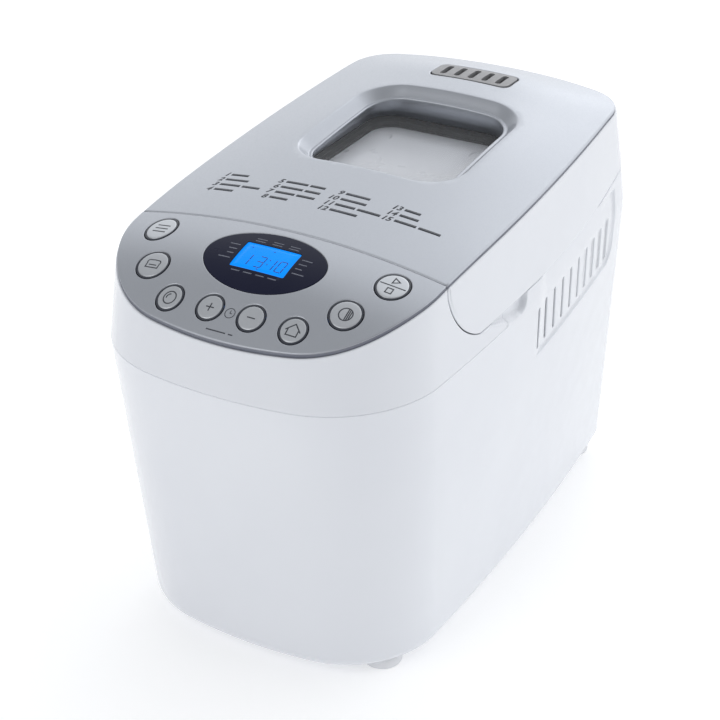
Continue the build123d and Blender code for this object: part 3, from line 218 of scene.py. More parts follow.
def wall_point(s, v, depth):
    """Point on the right half of the white wall. s runs from the front's middle (negative) to the rear's.

    v is the height, and below the bottom rounding it goes on round the edge and along the underside.
    """
    round_top = BOTTOM_Z + BOTTOM_ROUND
    angle = np.clip((round_top - v) / BOTTOM_ROUND, 0, math.pi / 2)
    under = np.clip(round_top - v - BOTTOM_ROUND * math.pi / 2, 0, None)
    z = np.where(v > round_top, v, round_top - (BOTTOM_ROUND - depth) * np.sin(angle))
    inset = depth * np.cos(angle) + BOTTOM_ROUND * (1 - np.cos(angle)) + under
    front_x, front_y = outline_point(np.clip(-s, 0, None), np.maximum(z, BOTTOM_Z), inset, -1)
    rear_x, rear_y = outline_point(np.clip(s, 0, None), np.maximum(z, BOTTOM_Z), inset, 1)
    x = np.where(s < 0, front_x, rear_x)
    y = np.where(s < 0, front_y, rear_y)
    return columns(x, y, z)


def s_of(y, z):
    """Wall coordinate s of a place on the side at the given y and z."""
    y, z = np.broadcast_arrays(np.asarray(y, float), np.asarray(z, float))
    length = np.where(y < 0, quarter_length(z, -1) / FRONT_LENGTH, quarter_length(z, 1) / REAR_LENGTH)
    return SIDE_RADIUS * np.arcsin(y / SIDE_RADIUS) / length


def rim_height(s, drop):
    """Height at which the wall meets the crown lowered by drop."""
    s = np.asarray(s, float)
    z = np.full(s.shape, SPLIT_TOP_Z - 2)
    for _ in range(8):
        point = wall_point(s, z, 0.0)
        z = crown_z(point[..., 0], point[..., 1]) - drop
    return z


def lid_edge_height(y):
    """Height of the lid's lower edge behind the grip tab."""
    return LID_EDGE_Z + LID_EDGE_RADIUS - np.sqrt(LID_EDGE_RADIUS ** 2 - np.clip(y, 0, None) ** 2)


def three_point_arc(start, middle, end, count):
    """Points on the circle's arc from start through middle to end."""
    a, b, c = (complex(*place) for place in (start, middle, end))
    ratio = (c - a) / (b - a)
    center = a + (b - a) * (ratio - abs(ratio) ** 2) / (2j * ratio.imag)
    first, *others = (cmath.phase(place - center) for place in (a, b, c))
    to_middle, sweep = (math.remainder(angle - first, 2 * math.pi) for angle in others)
    if to_middle * sweep < 0:
        sweep -= math.copysign(2 * math.pi, sweep)
    angles = first + np.linspace(0, sweep, count)
    return columns(np.cos(angles), np.sin(angles)) * abs(a - center) + (center.real, center.imag)


# ------------------------------------------------------------------ meshes


def add_object(name, data):
    """Adds an object to the scene."""
    made = bpy.data.objects.new(name, data)
    bpy.context.scene.collection.objects.link(made)
    return made


def make_piece(name, points, faces, body, slot, replaces=(), thickness=0.0, material=None, shade_faces=0):
    """A smooth mesh object from points in millimetres, riding on a body. A thickness is added inwards.

    The material is the slot's unless one is given. The first faces, as many as the last argument says, take
    the painted gap shade: a dark material that stands in for the shadow in the gap below a turned-down edge.
    """
    mesh = bpy.data.meshes.new(name)
    mesh.from_pydata([tuple(p) for p in np.asarray(points) * MM], [], faces)
    mesh.materials.append(material or SLOT_MATERIALS[slot])
    if shade_faces:
        mesh.materials.append(GAP_SHADE)
    for face in mesh.polygons[:shade_faces]:
        face.material_index = 1
    work = bmesh.new()
    work.from_mesh(mesh)
    bmesh.ops.remove_doubles(work, verts=work.verts, dist=WELD * MM)
    bmesh.ops.recalc_face_normals(work, faces=work.faces)
    work.to_mesh(mesh)
    work.free()
    piece = add_object(name, mesh)
    if thickness:
        thicken(piece, thickness, -1.0)
        bake_modifiers(piece)
    piece.data.shade_smooth()
    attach(piece, body)
    if replaces:
        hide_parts(*replaces)
    return piece


def thicken(piece, thickness, side):
    """Gives a surface a thickness: inwards where side is -1, both ways where it is 0."""
    shell = piece.modifiers.new("shell", "SOLIDIFY")
    shell.thickness = thickness * MM
    shell.offset = side


def bake_modifiers(piece):
    """Turns a piece's modifiers into plain mesh."""
    graph = bpy.context.evaluated_depsgraph_get()
    baked = bpy.data.meshes.new_from_object(piece.evaluated_get(graph))
    piece.modifiers.clear()
    piece.data = baked


def resampled(chain, step):
    """The same chain with extra points, so that no two neighbours are further apart than step."""
    chain = np.asarray(chain, float)
    parts = []
    for a, b in zip(chain[:-1], chain[1:]):
        count = max(1, int(math.ceil(np.linalg.norm(b - a) / step)))
        parts.append(a + (b - a) * np.linspace(0, 1, count, endpoint=False)[:, None])
    return np.concatenate(parts + [chain[-1:]])


def unit(vectors):
    """The same directions with length 1."""
    return vectors / np.linalg.norm(vectors, axis=-1, keepdims=True)


def left_normals(chain, closed):
    """Directions to the left of a chain, longer at corners, so that an offset chain keeps its distance."""
    if closed:
        ahead, behind = np.roll(chain, -1, axis=0), np.roll(chain, 1, axis=0)
    else:
        ahead = np.concatenate([chain[1:], 2 * chain[-1:] - chain[-2:-1]])
        behind = np.concatenate([2 * chain[:1] - chain[1:2], chain[:-1]])
    first, second = unit(chain - behind), unit(ahead - chain)
    tangent = unit(first + second)
    spread = np.clip((tangent * first).sum(1, keepdims=True), 0.5, 1)
    return columns(-tangent[:, 1], tangent[:, 0]) / spread


def inside_polygon(points, polygon):
    """Which points lie inside a closed polygon."""
    x, y = points[:, 0], points[:, 1]
    inside = np.zeros(len(points), bool)
    for (ax, ay), (bx, by) in zip(polygon, np.roll(polygon, -1, axis=0)):
        if ay != by:
            inside ^= ((ay > y) != (by > y)) & (x < ax + (bx - ax) / (by - ay) * (y - ay))
    return inside


def unit_circle(steps, start=0.0, turn=2 * math.pi, closed=False):
    """Points on a circle of radius 1, or on an arc of it. A closed one includes its last point."""
    angles = np.linspace(start, start + turn, steps, endpoint=closed)
    return columns(np.cos(angles), np.sin(angles))


def rounded_loop(center, half, radius, steps=8, straight=6.0, clockwise=False):
    """Closed loop of a rectangle with round corners, with extra points along its straight sides."""
    corners = []
    for turn, sides in enumerate(((1, 1), (-1, 1), (-1, -1), (1, -1))):
        arc = unit_circle(steps + 1, math.pi / 2 * turn, math.pi / 2, closed=True) * radius
        corners.append(arc + np.array(sides) * (np.array(half) - radius))
    loop = resampled(np.concatenate(corners + [corners[0][:1]]), straight)[:-1] + np.array(center)
    return loop[::-1] if clockwise else loop


def ellipse_loop(center, half, count, clockwise=False):
    """Closed loop of an ellipse or circle."""
    loop = unit_circle(count) * half + center
    return loop[::-1] if clockwise else loop


def row_numbers(rows, length, first=0):
    """Point numbers of rows of the same length, laid one after another."""
    return [list(range(first + k * length, first + (k + 1) * length)) for k in range(rows)]


def ring_faces(rings, closed=True):
    """Quads between rows of point numbers."""
    faces = []
    for outer, inner in zip(rings[:-1], rings[1:]):
        faces += list(zip(outer, outer[1:], inner[1:], inner))
        if closed:
            faces.append((outer[-1], outer[0], inner[0], inner[-1]))
    return faces


def capped_faces(rows, length):
    """Quads between rings laid one after another, with a flat face at each end."""
    rings = row_numbers(rows, length)
    return ring_faces(rings) + [tuple(rings[-1]), tuple(reversed(rings[0]))]


# rows of a hexagonal grid are this share of its step apart
HEX_ROW = 0.866
# inner points stay this far from a cut edge, and this share of the gap between its points
SEED_CLEARANCE = 0.6
CLEAR_SHARE = 0.45
SAME_POINT = 1e-5


def flat_tree(points):
    """Search tree of flat points."""
    tree = KDTree(len(points))
    for i, point in enumerate(points):
        tree.insert((*point, 0), i)
    tree.balance()
    return tree


class Sheet:
    """A surface over a flat domain, whose cut edges are rounded over and turned down.

    Cut edges have the material on their left. join gives a plain edge, such as a mirror line, from the end of
    the open cut to its start. place(points, depth) puts flat points at a depth below the surface.
    """

    def __init__(self, place, edge_round, wall, edge_steps=3):
        self.place = place
        angles = np.linspace(math.pi / 2, 0, edge_steps + 1)
        self.profile = [(0.0, wall)] if wall > edge_round else []
        self.profile += [(edge_round * (1 - math.sin(a)), edge_round * (1 - math.cos(a))) for a in angles]
        self.profile += [(edge_round * 1.6, 0.0)]
        self.points = []
        self.depths = []
        self.faces = []
        self.borders = []
        self.seeds = np.zeros((0, 2))
        self.count = 0

    def add_points(self, points, depth):
        """Stores points at a depth and returns their numbers."""
        numbers = list(range(self.count, self.count + len(points)))
        self.points.append(points)
        self.depths.append(np.full(len(points), float(depth)))
        self.count += len(points)
        return numbers

    def cut(self, chain, closed=True, ends=None, rolled=True):
        """Adds a cut edge. ends are the directions in which an open cut's two ends are offset."""
        chain = np.asarray(chain, float)
        normals = left_normals(chain, closed)
        if ends is not None:
            normals[0], normals[-1] = ends
        profile = self.profile if rolled else [(0, 0)]
        rings = [self.add_points(chain + normals * inwards, depth) for inwards, depth in profile]
        self.faces += ring_faces(rings, closed)
        self.borders.append(rings[-1])

    def join(self, chain):
        """Closes the open cut that was added last with a plain edge."""
        self.borders[-1] = self.borders[-1] + self.add_points(np.asarray(chain, float)[1:-1], 0.0)

    def seed(self, low, high, step):
        """Adds a hexagonal grid of inner points, in place of those laid there before."""
        low, high = np.array(low), np.array(high)
        self.seeds = self.seeds[~((self.seeds >= low) & (self.seeds <= high)).all(1)]
        rows = []
        for i, y in enumerate(np.arange(low[1], high[1], step * HEX_ROW)):
            xs = np.arange(low[0] + (i % 2) * step / 2, high[0], step)
            rows.append(columns(xs, np.full(len(xs), y)))
        self.seeds = np.concatenate([self.seeds] + rows)

    def seed_beside(self, chain, offsets):
        """Adds inner points along a chain, at several distances to its left, in place of those near it."""
        chain = np.asarray(chain, float)
        tree = flat_tree(chain)
        reach = max(abs(o) for o in offsets) + SEED_CLEARANCE
        far = [tree.find((*p, 0))[2] > reach for p in self.seeds]
        normals = left_normals(chain, False)
        self.seeds = np.concatenate([self.seeds[far]] + [chain + normals * o for o in offsets])

    def build(self, clearance=SEED_CLEARANCE):
        """Returns the points in space and the faces. Inner points stay clear of the cut edges."""
        flat = np.concatenate(self.points)
        outline, holes = flat[self.borders[0]], [flat[b] for b in self.borders[1:]]
        seeds = self.seeds[inside_polygon(self.seeds, outline)]
        for hole in holes:
            seeds = seeds[~inside_polygon(seeds, hole)]
        border = [i for ring in self.borders for i in ring]
        border_edges = [pair for ring in self.borders for pair in zip(ring, ring[1:] + ring[:1])]
        gaps = [np.linalg.norm(flat[a] - flat[b]) for a, b in border_edges]
        tree = flat_tree(flat[border])
        kept = []
        for point in seeds:
            _, nearest, distance = tree.find((*point, 0))
            if distance > max(clearance, gaps[nearest] * CLEAR_SHARE):
                kept.append(point)
        numbers = border + self.add_points(np.array(kept), 0.0)
        flat = np.concatenate(self.points)
        order = {number: i for i, number in enumerate(numbers)}
        edges = [(order[a], order[b]) for a, b in border_edges]
        corners = [Vector(flat[i]) for i in numbers]
        found, _, triangles, sources, _, _ = geometry.delaunay_2d_cdt(corners, edges, [], 0, SAME_POINT)
        middles = np.array([sum((found[i] for i in t), Vector((0, 0))) / 3 for t in triangles])
        keep = inside_polygon(middles, outline)
        for hole in holes:
            keep &= ~inside_polygon(middles, hole)
        for triangle, wanted in zip(triangles, keep):
            if wanted:
                self.faces.append(tuple(numbers[sources[i][0]] for i in triangle))
        return self.place(flat, np.concatenate(self.depths)), self.faces


MIRROR = np.array([-1, 1, 1])


def mirrored(points, faces):
    """Adds a half mesh's mirror image across x = 0."""
    twin_faces = [tuple(i + len(points) for i in reversed(face)) for face in faces]
    return np.concatenate([points, points * MIRROR]), list(faces) + twin_faces


# ------------------------------------------------------------------ materials


def fill(tree, socket, value):
    """Gives a node's input a constant, or links it to an output."""
    if isinstance(value, bpy.types.NodeSocket):
        tree.links.new(value, socket)
    elif isinstance(value, tuple) and socket.type == "RGBA":
        socket.default_value = (*value, 1.0)
    else:
        socket.default_value = value


def add_node(tree, kind, **inputs):
    """Adds a node and fills its inputs. An underscore stands for a space in their names."""
    node = tree.nodes.new(f"ShaderNode{kind}")
    for name, value in inputs.items():
        fill(tree, node.inputs[name.replace("_", " ")], value)
    return node


class Recipe:
    """A node material in the making. Its methods add a node and give back its main output."""

    def __init__(self, name, color, roughness, metallic=0.0, **sockets):
        self.material = bpy.data.materials.new(name)
        self.material.use_nodes = True
        self.tree = self.material.node_tree
        self.place = add_node(self.tree, "TexCoord").outputs["Object"]
        self.roughness = roughness
        self.set(Base_Color=color, Roughness=roughness, Metallic=metallic, **sockets)

    def set(self, **sockets):
        """Fills the shader's sockets."""
        for name, value in sockets.items():
            fill(self.tree, self.tree.nodes["Principled BSDF"].inputs[name.replace("_", " ")], value)

    def noise(self, scale, detail=3.0, stretch=(1, 1, 1), kind="TexNoise"):
        """Noise with scale features per metre, finer where stretch is above 1."""
        spread = add_node(self.tree, "Mapping", Vector=self.place, Scale=stretch).outputs["Vector"]
        return add_node(self.tree, kind, Vector=spread, Scale=scale, Detail=detail).outputs[0]

    def ramp(self, value, low, high, start=0.3, end=0.7):
        """Maps a value onto a range of numbers."""
        limits = {"From_Min": start, "From_Max": end, "To_Min": low, "To_Max": high}
        return add_node(self.tree, "MapRange", Value=value, **limits).outputs["Result"]

    def polish(self, value, low, high):
        """Roughness that varies between two shares of its usual value."""
        return self.ramp(value, self.roughness * low, self.roughness * high)

    def blend(self, value, first, second, start=0.3, end=0.7):
        """Maps a value onto a mix of two colours, or of colour outputs."""
        node = add_node(self.tree, "Mix")
        node.data_type = "RGBA"
        # inputs 0, 6 and 7 of this node are the factor and the two colours, and output 2 is their mix
        for number, setting in ((0, self.ramp(value, 0.0, 1.0, start, end)), (6, first), (7, second)):
            fill(self.tree, node.inputs[number], setting)
        return node.outputs[2]

    def finish(self, color, roughness, height, depth, strength):
        """Sets the colour, the roughness and a bump of depth metres, and gives back the material."""
        bump = add_node(self.tree, "Bump", Height=height, Distance=depth, Strength=strength)
        self.set(Base_Color=color, Roughness=roughness, Normal=bump.outputs["Normal"])
        return self.material


def gloss_plastic(name, light, dark, roughness=0.2, coat=0.35, specular=0.5):
    """Moulded glossy plastic: faint flow marks in its colour, polish that varies, and fine orange peel."""
    recipe = Recipe(name, light, roughness, Coat_Weight=coat, Coat_Roughness=0.08)
    recipe.set(Specular_IOR_Level=specular)
    color = recipe.blend(recipe.noise(9.0, 2.0), dark, light)
    polish = recipe.polish(recipe.noise(60.0, 4.0), 0.8, 1.3)
    return recipe.finish(color, polish, recipe.noise(420.0, 2.0), 0.00002, 0.35)


def satin_paint(name, light, dark, roughness=0.36):
    """Silver paint: metal flake in its colour, its polish and its bump."""
    recipe = Recipe(name, light, roughness, 0.8, Coat_Weight=0.15, Coat_Roughness=0.2)
    flake = recipe.blend(recipe.noise(5200.0, 1.0, kind="TexVoronoi"), dark, light, 0.0, 0.8)
    color = recipe.blend(recipe.noise(14.0), flake, light, 0.2, 1.4)
    polish = recipe.polish(recipe.noise(900.0, 4.0), 0.85, 1.2)
    return recipe.finish(color, polish, recipe.noise(2600.0, 2.0), 0.00001, 0.25)


def matt_plastic(name, light, dark, roughness=0.55, grain=1800.0):
    """Matt plastic or rubber: fine grain and slight mottling."""
    recipe = Recipe(name, light, roughness, Specular_IOR_Level=0.4)
    color = recipe.blend(recipe.noise(35.0, 4.0), dark, light)
    polish = recipe.polish(recipe.noise(grain / 8), 0.85, 1.15)
    return recipe.finish(color, polish, recipe.noise(grain), 0.00004, 0.5)


def rolled_metal(name, light, dark, roughness=0.34, stretch=(1, 40, 1)):
    """Sheet or drawn metal: fine lines one way, with smudges in its polish."""
    recipe = Recipe(name, light, roughness, 1.0, Anisotropic=0.3)
    lines = recipe.noise(60.0, 6.0, stretch)
    polish = recipe.polish(recipe.noise(30.0, 4.0), 0.7, 1.4)
    return recipe.finish(recipe.blend(lines, dark, light), polish, lines, 0.00002, 0.5)


def cast_surface(name, light, dark, metallic, roughness, grain=700.0):
    """Cast, sintered or coated surface: speckled colour and a pebbled skin."""
    recipe = Recipe(name, light, roughness, metallic)
    color = recipe.blend(recipe.noise(grain * 2.4, 2.0, kind="TexVoronoi"), dark, light, 0.1, 0.7)
    polish = recipe.polish(recipe.noise(grain / 6, 4.0), 0.8, 1.25)
    return recipe.finish(color, polish, recipe.noise(grain, 4.0), 0.00008, 0.6)


def window_glass(name, tint, roughness, film):
    """Thin pane, clear but for a faint film whose strength varies, with smudges in its polish."""
    recipe = Recipe(name, tint, roughness)
    smudge = recipe.noise(18.0, 5.0)
    color = recipe.blend(smudge, tint, brighter(tint, 1.04))
    polish = recipe.polish(smudge, 0.6, 1.5)
    recipe.set(Base_Color=color, Roughness=polish, Alpha=recipe.ramp(smudge, film, film * 1.12))
    return recipe.material


def brighter(color, share):
    """A colour times a number."""
    return tuple(min(1.0, channel * share) for channel in color)


def circuit_board(name):
    """Green board: lacquer over a weave, with copper tracks showing as paler lines."""
    recipe = Recipe(name, (0.02, 0.16, 0.06), 0.35, Coat_Weight=0.4, Coat_Roughness=0.15)
    tracks = recipe.noise(160.0, 0.0, kind="TexVoronoi")
    color = recipe.blend(tracks, (0.05, 0.26, 0.11), (0.015, 0.12, 0.05), 0.25, 0.35)
    return recipe.finish(color, recipe.ramp(recipe.noise(90.0), 0.28, 0.45), tracks, 0.00003, 0.4)


def lit_display(name, color, glow):
    """Backlit liquid crystal: a blue glow whose strength varies a little in soft clouds."""
    recipe = Recipe(name, color, 0.3, Specular_IOR_Level=0.1, Emission_Strength=glow)
    cloud = recipe.noise(22.0, 1.0)
    recipe.set(Emission_Color=recipe.blend(cloud, color, brighter(color, 1.1)))
    dim = recipe.blend(cloud, brighter(color, 0.2), brighter(color, 0.25))
    polish = recipe.ramp(recipe.noise(300.0, 2.0), 0.25, 0.35)
    return recipe.finish(dim, polish, recipe.noise(1500.0, 2.0), 0.00001, 0.3)


# a stretch that makes noise finer along Z, so that it draws lines across Z
FINE_ALONG_Z = (1, 1, 30)

# the material of each slot in the record
SLOT_MATERIALS = {
    "body_white": gloss_plastic("white_body", (0.80, 0.82, 0.865), (0.77, 0.79, 0.84)),
    "silver_fascia": satin_paint("silver_top", (0.44, 0.46, 0.50), (0.34, 0.36, 0.395)),
    "button_silver": satin_paint("silver_button", (0.54, 0.56, 0.59), (0.43, 0.445, 0.47), roughness=0.33),
    "lens_dark": gloss_plastic("dark_lens", (0.012, 0.014, 0.036), (0.009, 0.011, 0.03), 0.3, 0.0, 0.12),
    "lcd_blue": lit_display("blue_display", (0.0, 0.25, 0.95), 1.0),
    "vent_grey": matt_plastic("grey_vent", (0.34, 0.34, 0.35), (0.30, 0.30, 0.31), 0.42),
    "glass_clear": window_glass("outer_pane", (0.90, 0.93, 0.96), 0.06, 0.03),
    "seal_black": matt_plastic("black_seal", (0.022, 0.022, 0.025), (0.015, 0.015, 0.017), 0.6),
    "foot_rubber": matt_plastic("pale_rubber", (0.80, 0.81, 0.84), (0.75, 0.76, 0.79), 0.5),
    "inner_steel": rolled_metal("rolled_steel", (0.58, 0.58, 0.59), (0.48, 0.48, 0.49)),
    "pan_coating": cast_surface("non_stick", (0.060, 0.060, 0.064), (0.030, 0.030, 0.032), 0.55, 0.42, 900.0),
    "cast_metal": cast_surface("cast_aluminium", (0.50, 0.51, 0.52), (0.38, 0.39, 0.40), 0.95, 0.45),
    "bronze": cast_surface("sintered_bronze", (0.52, 0.34, 0.16), (0.38, 0.24, 0.11), 0.9, 0.42, 1500.0),
    "heater_dark": rolled_metal("oxidised_sheath", (0.17, 0.155, 0.145), (0.1, 0.09, 0.085), 0.5,
                                FINE_ALONG_Z),
    "ceramic_white": matt_plastic("white_ceramic", (0.78, 0.76, 0.70), (0.70, 0.68, 0.62), 0.5, 2600.0),
    "board_green": circuit_board("green_board"),
    "plastic_black": matt_plastic("black_plastic", (0.028, 0.028, 0.031), (0.018, 0.018, 0.02), 0.5),
}
INNER_GLASS = window_glass("inner_pane", (0.68, 0.70, 0.745), 0.3, 0.86)
# painted shade: a dark matt material on the turned-down edges of the silver skins, standing in for the shadow
# in the gaps between the silver and the white
GAP_SHADE = matt_plastic("dark_trim", (0.20, 0.21, 0.25), (0.16, 0.17, 0.21), 0.5)
COLLAR = matt_plastic("dark_collar", (0.045, 0.05, 0.065), (0.03, 0.035, 0.05), 0.4)
INK = matt_plastic("printed_ink", (0.05, 0.055, 0.07), (0.035, 0.04, 0.05), 0.5, 3000.0)
LCD_INK = matt_plastic("display_ink", (0.0, 0.03, 0.28), (0.0, 0.02, 0.22), 0.3, 3000.0)
LEGEND = matt_plastic("faint_legend", (0.16, 0.17, 0.22), (0.12, 0.13, 0.17), 0.5, 3000.0)


def finish_cad_nodes():
    """Gives every CAD node the material of its slot in the record."""
    for part in frame["record"]["subparts"]:
        materials = frame["nodes"][part["node"]].data.materials
        materials.clear()
        materials.append(SLOT_MATERIALS[part["material_slot"]])


# ------------------------------------------------------------------ silver top

WINDOW_Y = (-21.0, 107.0)
WINDOW_HALF_X = 61.0
WINDOW_CORNER = 30.0
# how far in and down the window's rim goes, following the crown, as (inwards, down)
RIM_PROFILE = ((0.0, 0.0), (0.6, 0.08), (1.2, 0.3), (1.7, 0.7), (4.5, 3.6), (7.0, 6.2), (7.4, 6.55),
               (7.9, 6.7), (8.5, 6.6), (9.2, 6.45), (9.7, 6.5), (10.1, 6.8), (10.3, 7.4))
# where the rim ends, as (inwards, height)
RIM_FOOT = (10.5, 270.4)
# closed section of the gasket round the inner pane, as (inwards, height)
GASKET_SECTION = ((5.5, 268.0), (10.3, 268.0), (10.3, 270.0), (11.0, 270.0), (11.15, 269.8), (11.2, 267.4),
                  (11.4, 267.2), (11.8, 267.1), (12.0, 266.9), (12.1, 264.4), (12.3, 264.2), (12.9, 264.1),
                  (13.1, 263.9), (13.1, 258.4), (14.2, 258.2), (14.2, 252.8), (5.5, 252.8))
# each pane's (inset, top height, thickness)
OUTER_PANE = (9.9, 272.2, 1.2)
INNER_PANE = (13.0, 262.6, 4.0)
VENT_GAP = 0.8
# depth and rings of the black plate under the steam vent, painted shade for the space below its slots
VENT_SHADE_DEPTH = 3.5
VENT_SHADE_SHARES = (1.0, 0.7, 0.4)
SPLIT_STEPS = 60


def crown_place(points, depth):
    """Places flat points on the crown."""
    x, y = points[:, 0], points[:, 1]
    return columns(x, y, crown_z(x, y) - depth)


def spaced(start, end, step):
    """Numbers from start to end, about a step apart."""
    return np.linspace(start, end, int(abs(end - start) / step))


def crown_outline(s_start, s_end):
    """The silver top's edge on the right-hand side between two wall coordinates."""
    s = spaced(s_start, s_end, 3.0)
    return wall_point(s, rim_height(s, 0.0), TRIM_INSET)[:, :2]


def split_points(start_x, end_x, y):
    """Points along the split between console and lid, without the last."""
    x = np.linspace(start_x, end_x, SPLIT_STEPS)[:-1]
    return columns(x, split_line(x, y))


def window_loop():
    """Edge of the window in plan, clockwise."""
    low, high = WINDOW_Y
    half = (WINDOW_HALF_X, (high - low) / 2)
    return rounded_loop((0, (low + high) / 2), half, WINDOW_CORNER, 14, 3.0, clockwise=True)


def vent_loop(gap):
    """Edge of the steam vent in plan, grown by a gap."""
    middle_y = (VENT_LOW.y + VENT_HIGH.y) / 2
    half = (VENT_HIGH.x + gap, (VENT_HIGH.y - VENT_LOW.y) / 2 + gap)
    return rounded_loop((0, middle_y), half, 6.0, 8, 2.5)


def window_rings(window, section, first=0):
    """Rings of points inside the window's edge, each (inwards, height), and their numbers from first."""
    inward = -left_normals(window, True)
    points = [np.column_stack([window + inward * distance, np.broadcast_to(height, len(window))])
              for distance, height in section]
    return np.concatenate(points), row_numbers(len(section), len(window), first)


def pane(name, place, replaces, material=None):
    """Flat pane inside the window."""
    inset, high, thickness = place
    middle = 0.5 * WINDOW_HALF_X
    low = high - thickness
    section = ((middle, high), (inset + 0.3, high), (inset, high - 0.3), (inset, low), (middle, low))
    points, rings = window_rings(window_loop(), section)
    faces = capped_faces(len(rings), len(rings[0]))
    make_piece(name, points, faces, "lid", "glass_clear", replaces, material=material)


def window_insides():
    """Gasket and both panes."""
    points, rings = window_rings(window_loop(), GASKET_SECTION)
    make_piece("window_seal", points, ring_faces(rings + rings[:1]), "lid", "seal_black", ("window_gasket",))
    pane("window_pane_outer", OUTER_PANE, ("window_glass_outer",))
    pane("window_pane_inner", INNER_PANE, ("window_glass_inner",), INNER_GLASS)


def vent_seat():
    """Black plate under the steam vent's slots: painted shade, standing in for the dark space seen through
    them.
    """
    edge = vent_loop(VENT_GAP + 1.5)
    middle = edge.mean(axis=0)
    flat = np.concatenate([middle + (edge - middle) * share for share in VENT_SHADE_SHARES])
    rings = row_numbers(len(VENT_SHADE_SHARES), len(edge))
    faces = ring_faces(rings) + [tuple(rings[-1])]
    make_piece("vent_seat", crown_place(flat, VENT_SHADE_DEPTH), faces, "lid", "seal_black", thickness=0.8)


def lid_top():
    """Silver skin of the lid, with the window's soft rim."""
    sheet = Sheet(crown_place, 0.9, TRIM_DEPTH + 0.6)
    front_y = SPLIT_Y + SPLIT_GAP / 2
    right = crown_outline(float(s_of(front_y, SPLIT_TOP_Z)), REAR_LENGTH)
    edge_x = right[0, 0]
    right[0, 1] = split_line(edge_x, front_y)
    edge = np.concatenate([split_points(-edge_x, edge_x, front_y), right, right[::-1][1:-1] * MIRROR[:2]])
    sheet.cut(edge)
    window = window_loop()
    sheet.cut(window, rolled=False)
    sheet.cut(vent_loop(VENT_GAP)[::-1])
    sheet.seed((-HALF_WIDTH, -HALF_LENGTH), (HALF_WIDTH, HALF_LENGTH), 5.0)
    points, faces = sheet.build(1.2)
    crown = crown_z(window[:, 0], window[:, 1])
    section = [(distance, crown - drop) for distance, drop in RIM_PROFILE] + [RIM_FOOT]
    rim_points, rings = window_rings(window, section, len(points))
    points = np.concatenate([points, rim_points])
    # the first ring of faces, the turned-down outer edge, takes the painted gap shade
    make_piece("lid_top_skin", points, faces + ring_faces(rings), "lid", "silver_fascia",
               ("lid_top_panel", "window_bezel"), 1.0, shade_faces=len(edge))


# ------------------------------------------------------------------ console and printed marks

# each button's place and its half width and half length in plan
BUTTONS = {
    "button_menu": (-80.0, -128.5, 9.7, 12.0),
    "button_start": (80.0, -128.5, 10.35, 11.7),
    "button_loaf_size": (-66.0, -158.5, 10.5, 9.8),
    "button_crust_color": (66.0, -158.5, 10.35, 9.75),
    "button_dough": (-42.0, -176.5, 8.55, 8.3),
    "button_home_made": (42.0, -176.5, 8.85, 8.1),
    "button_plus": (-14.0, -176.5, 8.7, 8.0),
    "button_minus": (14.0, -176.5, 8.8, 8.0),
}
BUTTON_GAP = 0.35
DISPLAY_GAP = 0.2
BUTTON_PROUD = 0.2
RING_WIDTH = 1.15
# section of a cap below its face and of its collar, as (outwards from the face's edge, height off the crown)
CAP_SECTION = ((-0.45, 0.2), (-0.2, 0.12), (-0.05, -0.05), (0.0, -0.3), (0.0, -5.4), (2.15, -5.6),
               (2.35, -5.9), (2.35, -6.8), (2.15, -7.0))
COLLAR_SECTION = ((0.02, -4.5), (0.02, -0.05), (0.2, 0.1), (0.95, 0.1), (1.1, -0.1), (0.75, -1.2),
                  (0.75, -4.5))
# section of its stem, as (radius, height)
STEM_SECTION = ((2.5, -7.0), (2.5, -10.7), (2.2, -11.0))
FACE_RINGS = 6
DISPLAY_Y = -138.2
DISPLAY_HALF = (40.0, 24.6)
DISPLAY_SQUEEZE = 0.97
TIMER_SQUEEZE = 0.9
CLOCK_PLACE = (0.0, -177.0)
TIMER_PLACE = (0.0, -188.5)
LCD_CENTER = (0.0, -137.3)
LCD_HALF = (18.5, 11.3)
INK_LIFT = 0.03
INK_THICK = 0.04
MARK_WIDTH = 0.75
STROKE_END = 0.35
CIRCLE_STEPS = 48
DISPLAY_STEPS = 110


def on_crown(points, place, squeeze, lift):
    """Places local (right, uphill) points on the crown round a place, squeezed uphill and lifted off it."""
    points = np.asarray(points, float)
    x = place[0] + points[:, 0]
    y = place[1] + points[:, 1] * squeeze
    return columns(x, y, crown_z(x, y) + lift)


def control_panel():
    """Silver fascia of the console, with a hole for each button and for the display."""
    sheet = Sheet(crown_place, 0.5, TRIM_DEPTH + 0.4)
    edge_y = SPLIT_Y - SPLIT_GAP / 2
    right = crown_outline(-FRONT_LENGTH, float(s_of(edge_y, SPLIT_TOP_Z)))
    right[-1, 1] = split_line(right[-1, 0], edge_y)
    left = right[::-1] * MIRROR[:2]
    edge = np.concatenate([left, right[1:], split_points(right[-1, 0], left[0, 0], edge_y)[1:]])
    sheet.cut(edge)
    for x, y, half_x, half_y in BUTTONS.values():
        half = np.add((half_x, half_y), BUTTON_GAP)
        sheet.cut(ellipse_loop((x, y), half, CIRCLE_STEPS, clockwise=True))
    half = np.add(DISPLAY_HALF, DISPLAY_GAP)
    sheet.cut(ellipse_loop((0, DISPLAY_Y), half, DISPLAY_STEPS, clockwise=True))
    sheet.seed((-HALF_WIDTH, -HALF_LENGTH), (HALF_WIDTH, SPLIT_Y + SPLIT_BOW), 4.0)
    points, faces = sheet.build(1.0)
    # the first ring of faces, the turned-down outer edge, takes the painted gap shade
    make_piece("console_fascia", points, faces, "root", "silver_fascia", ("control_panel",), 1.0,
               shade_faces=len(edge))


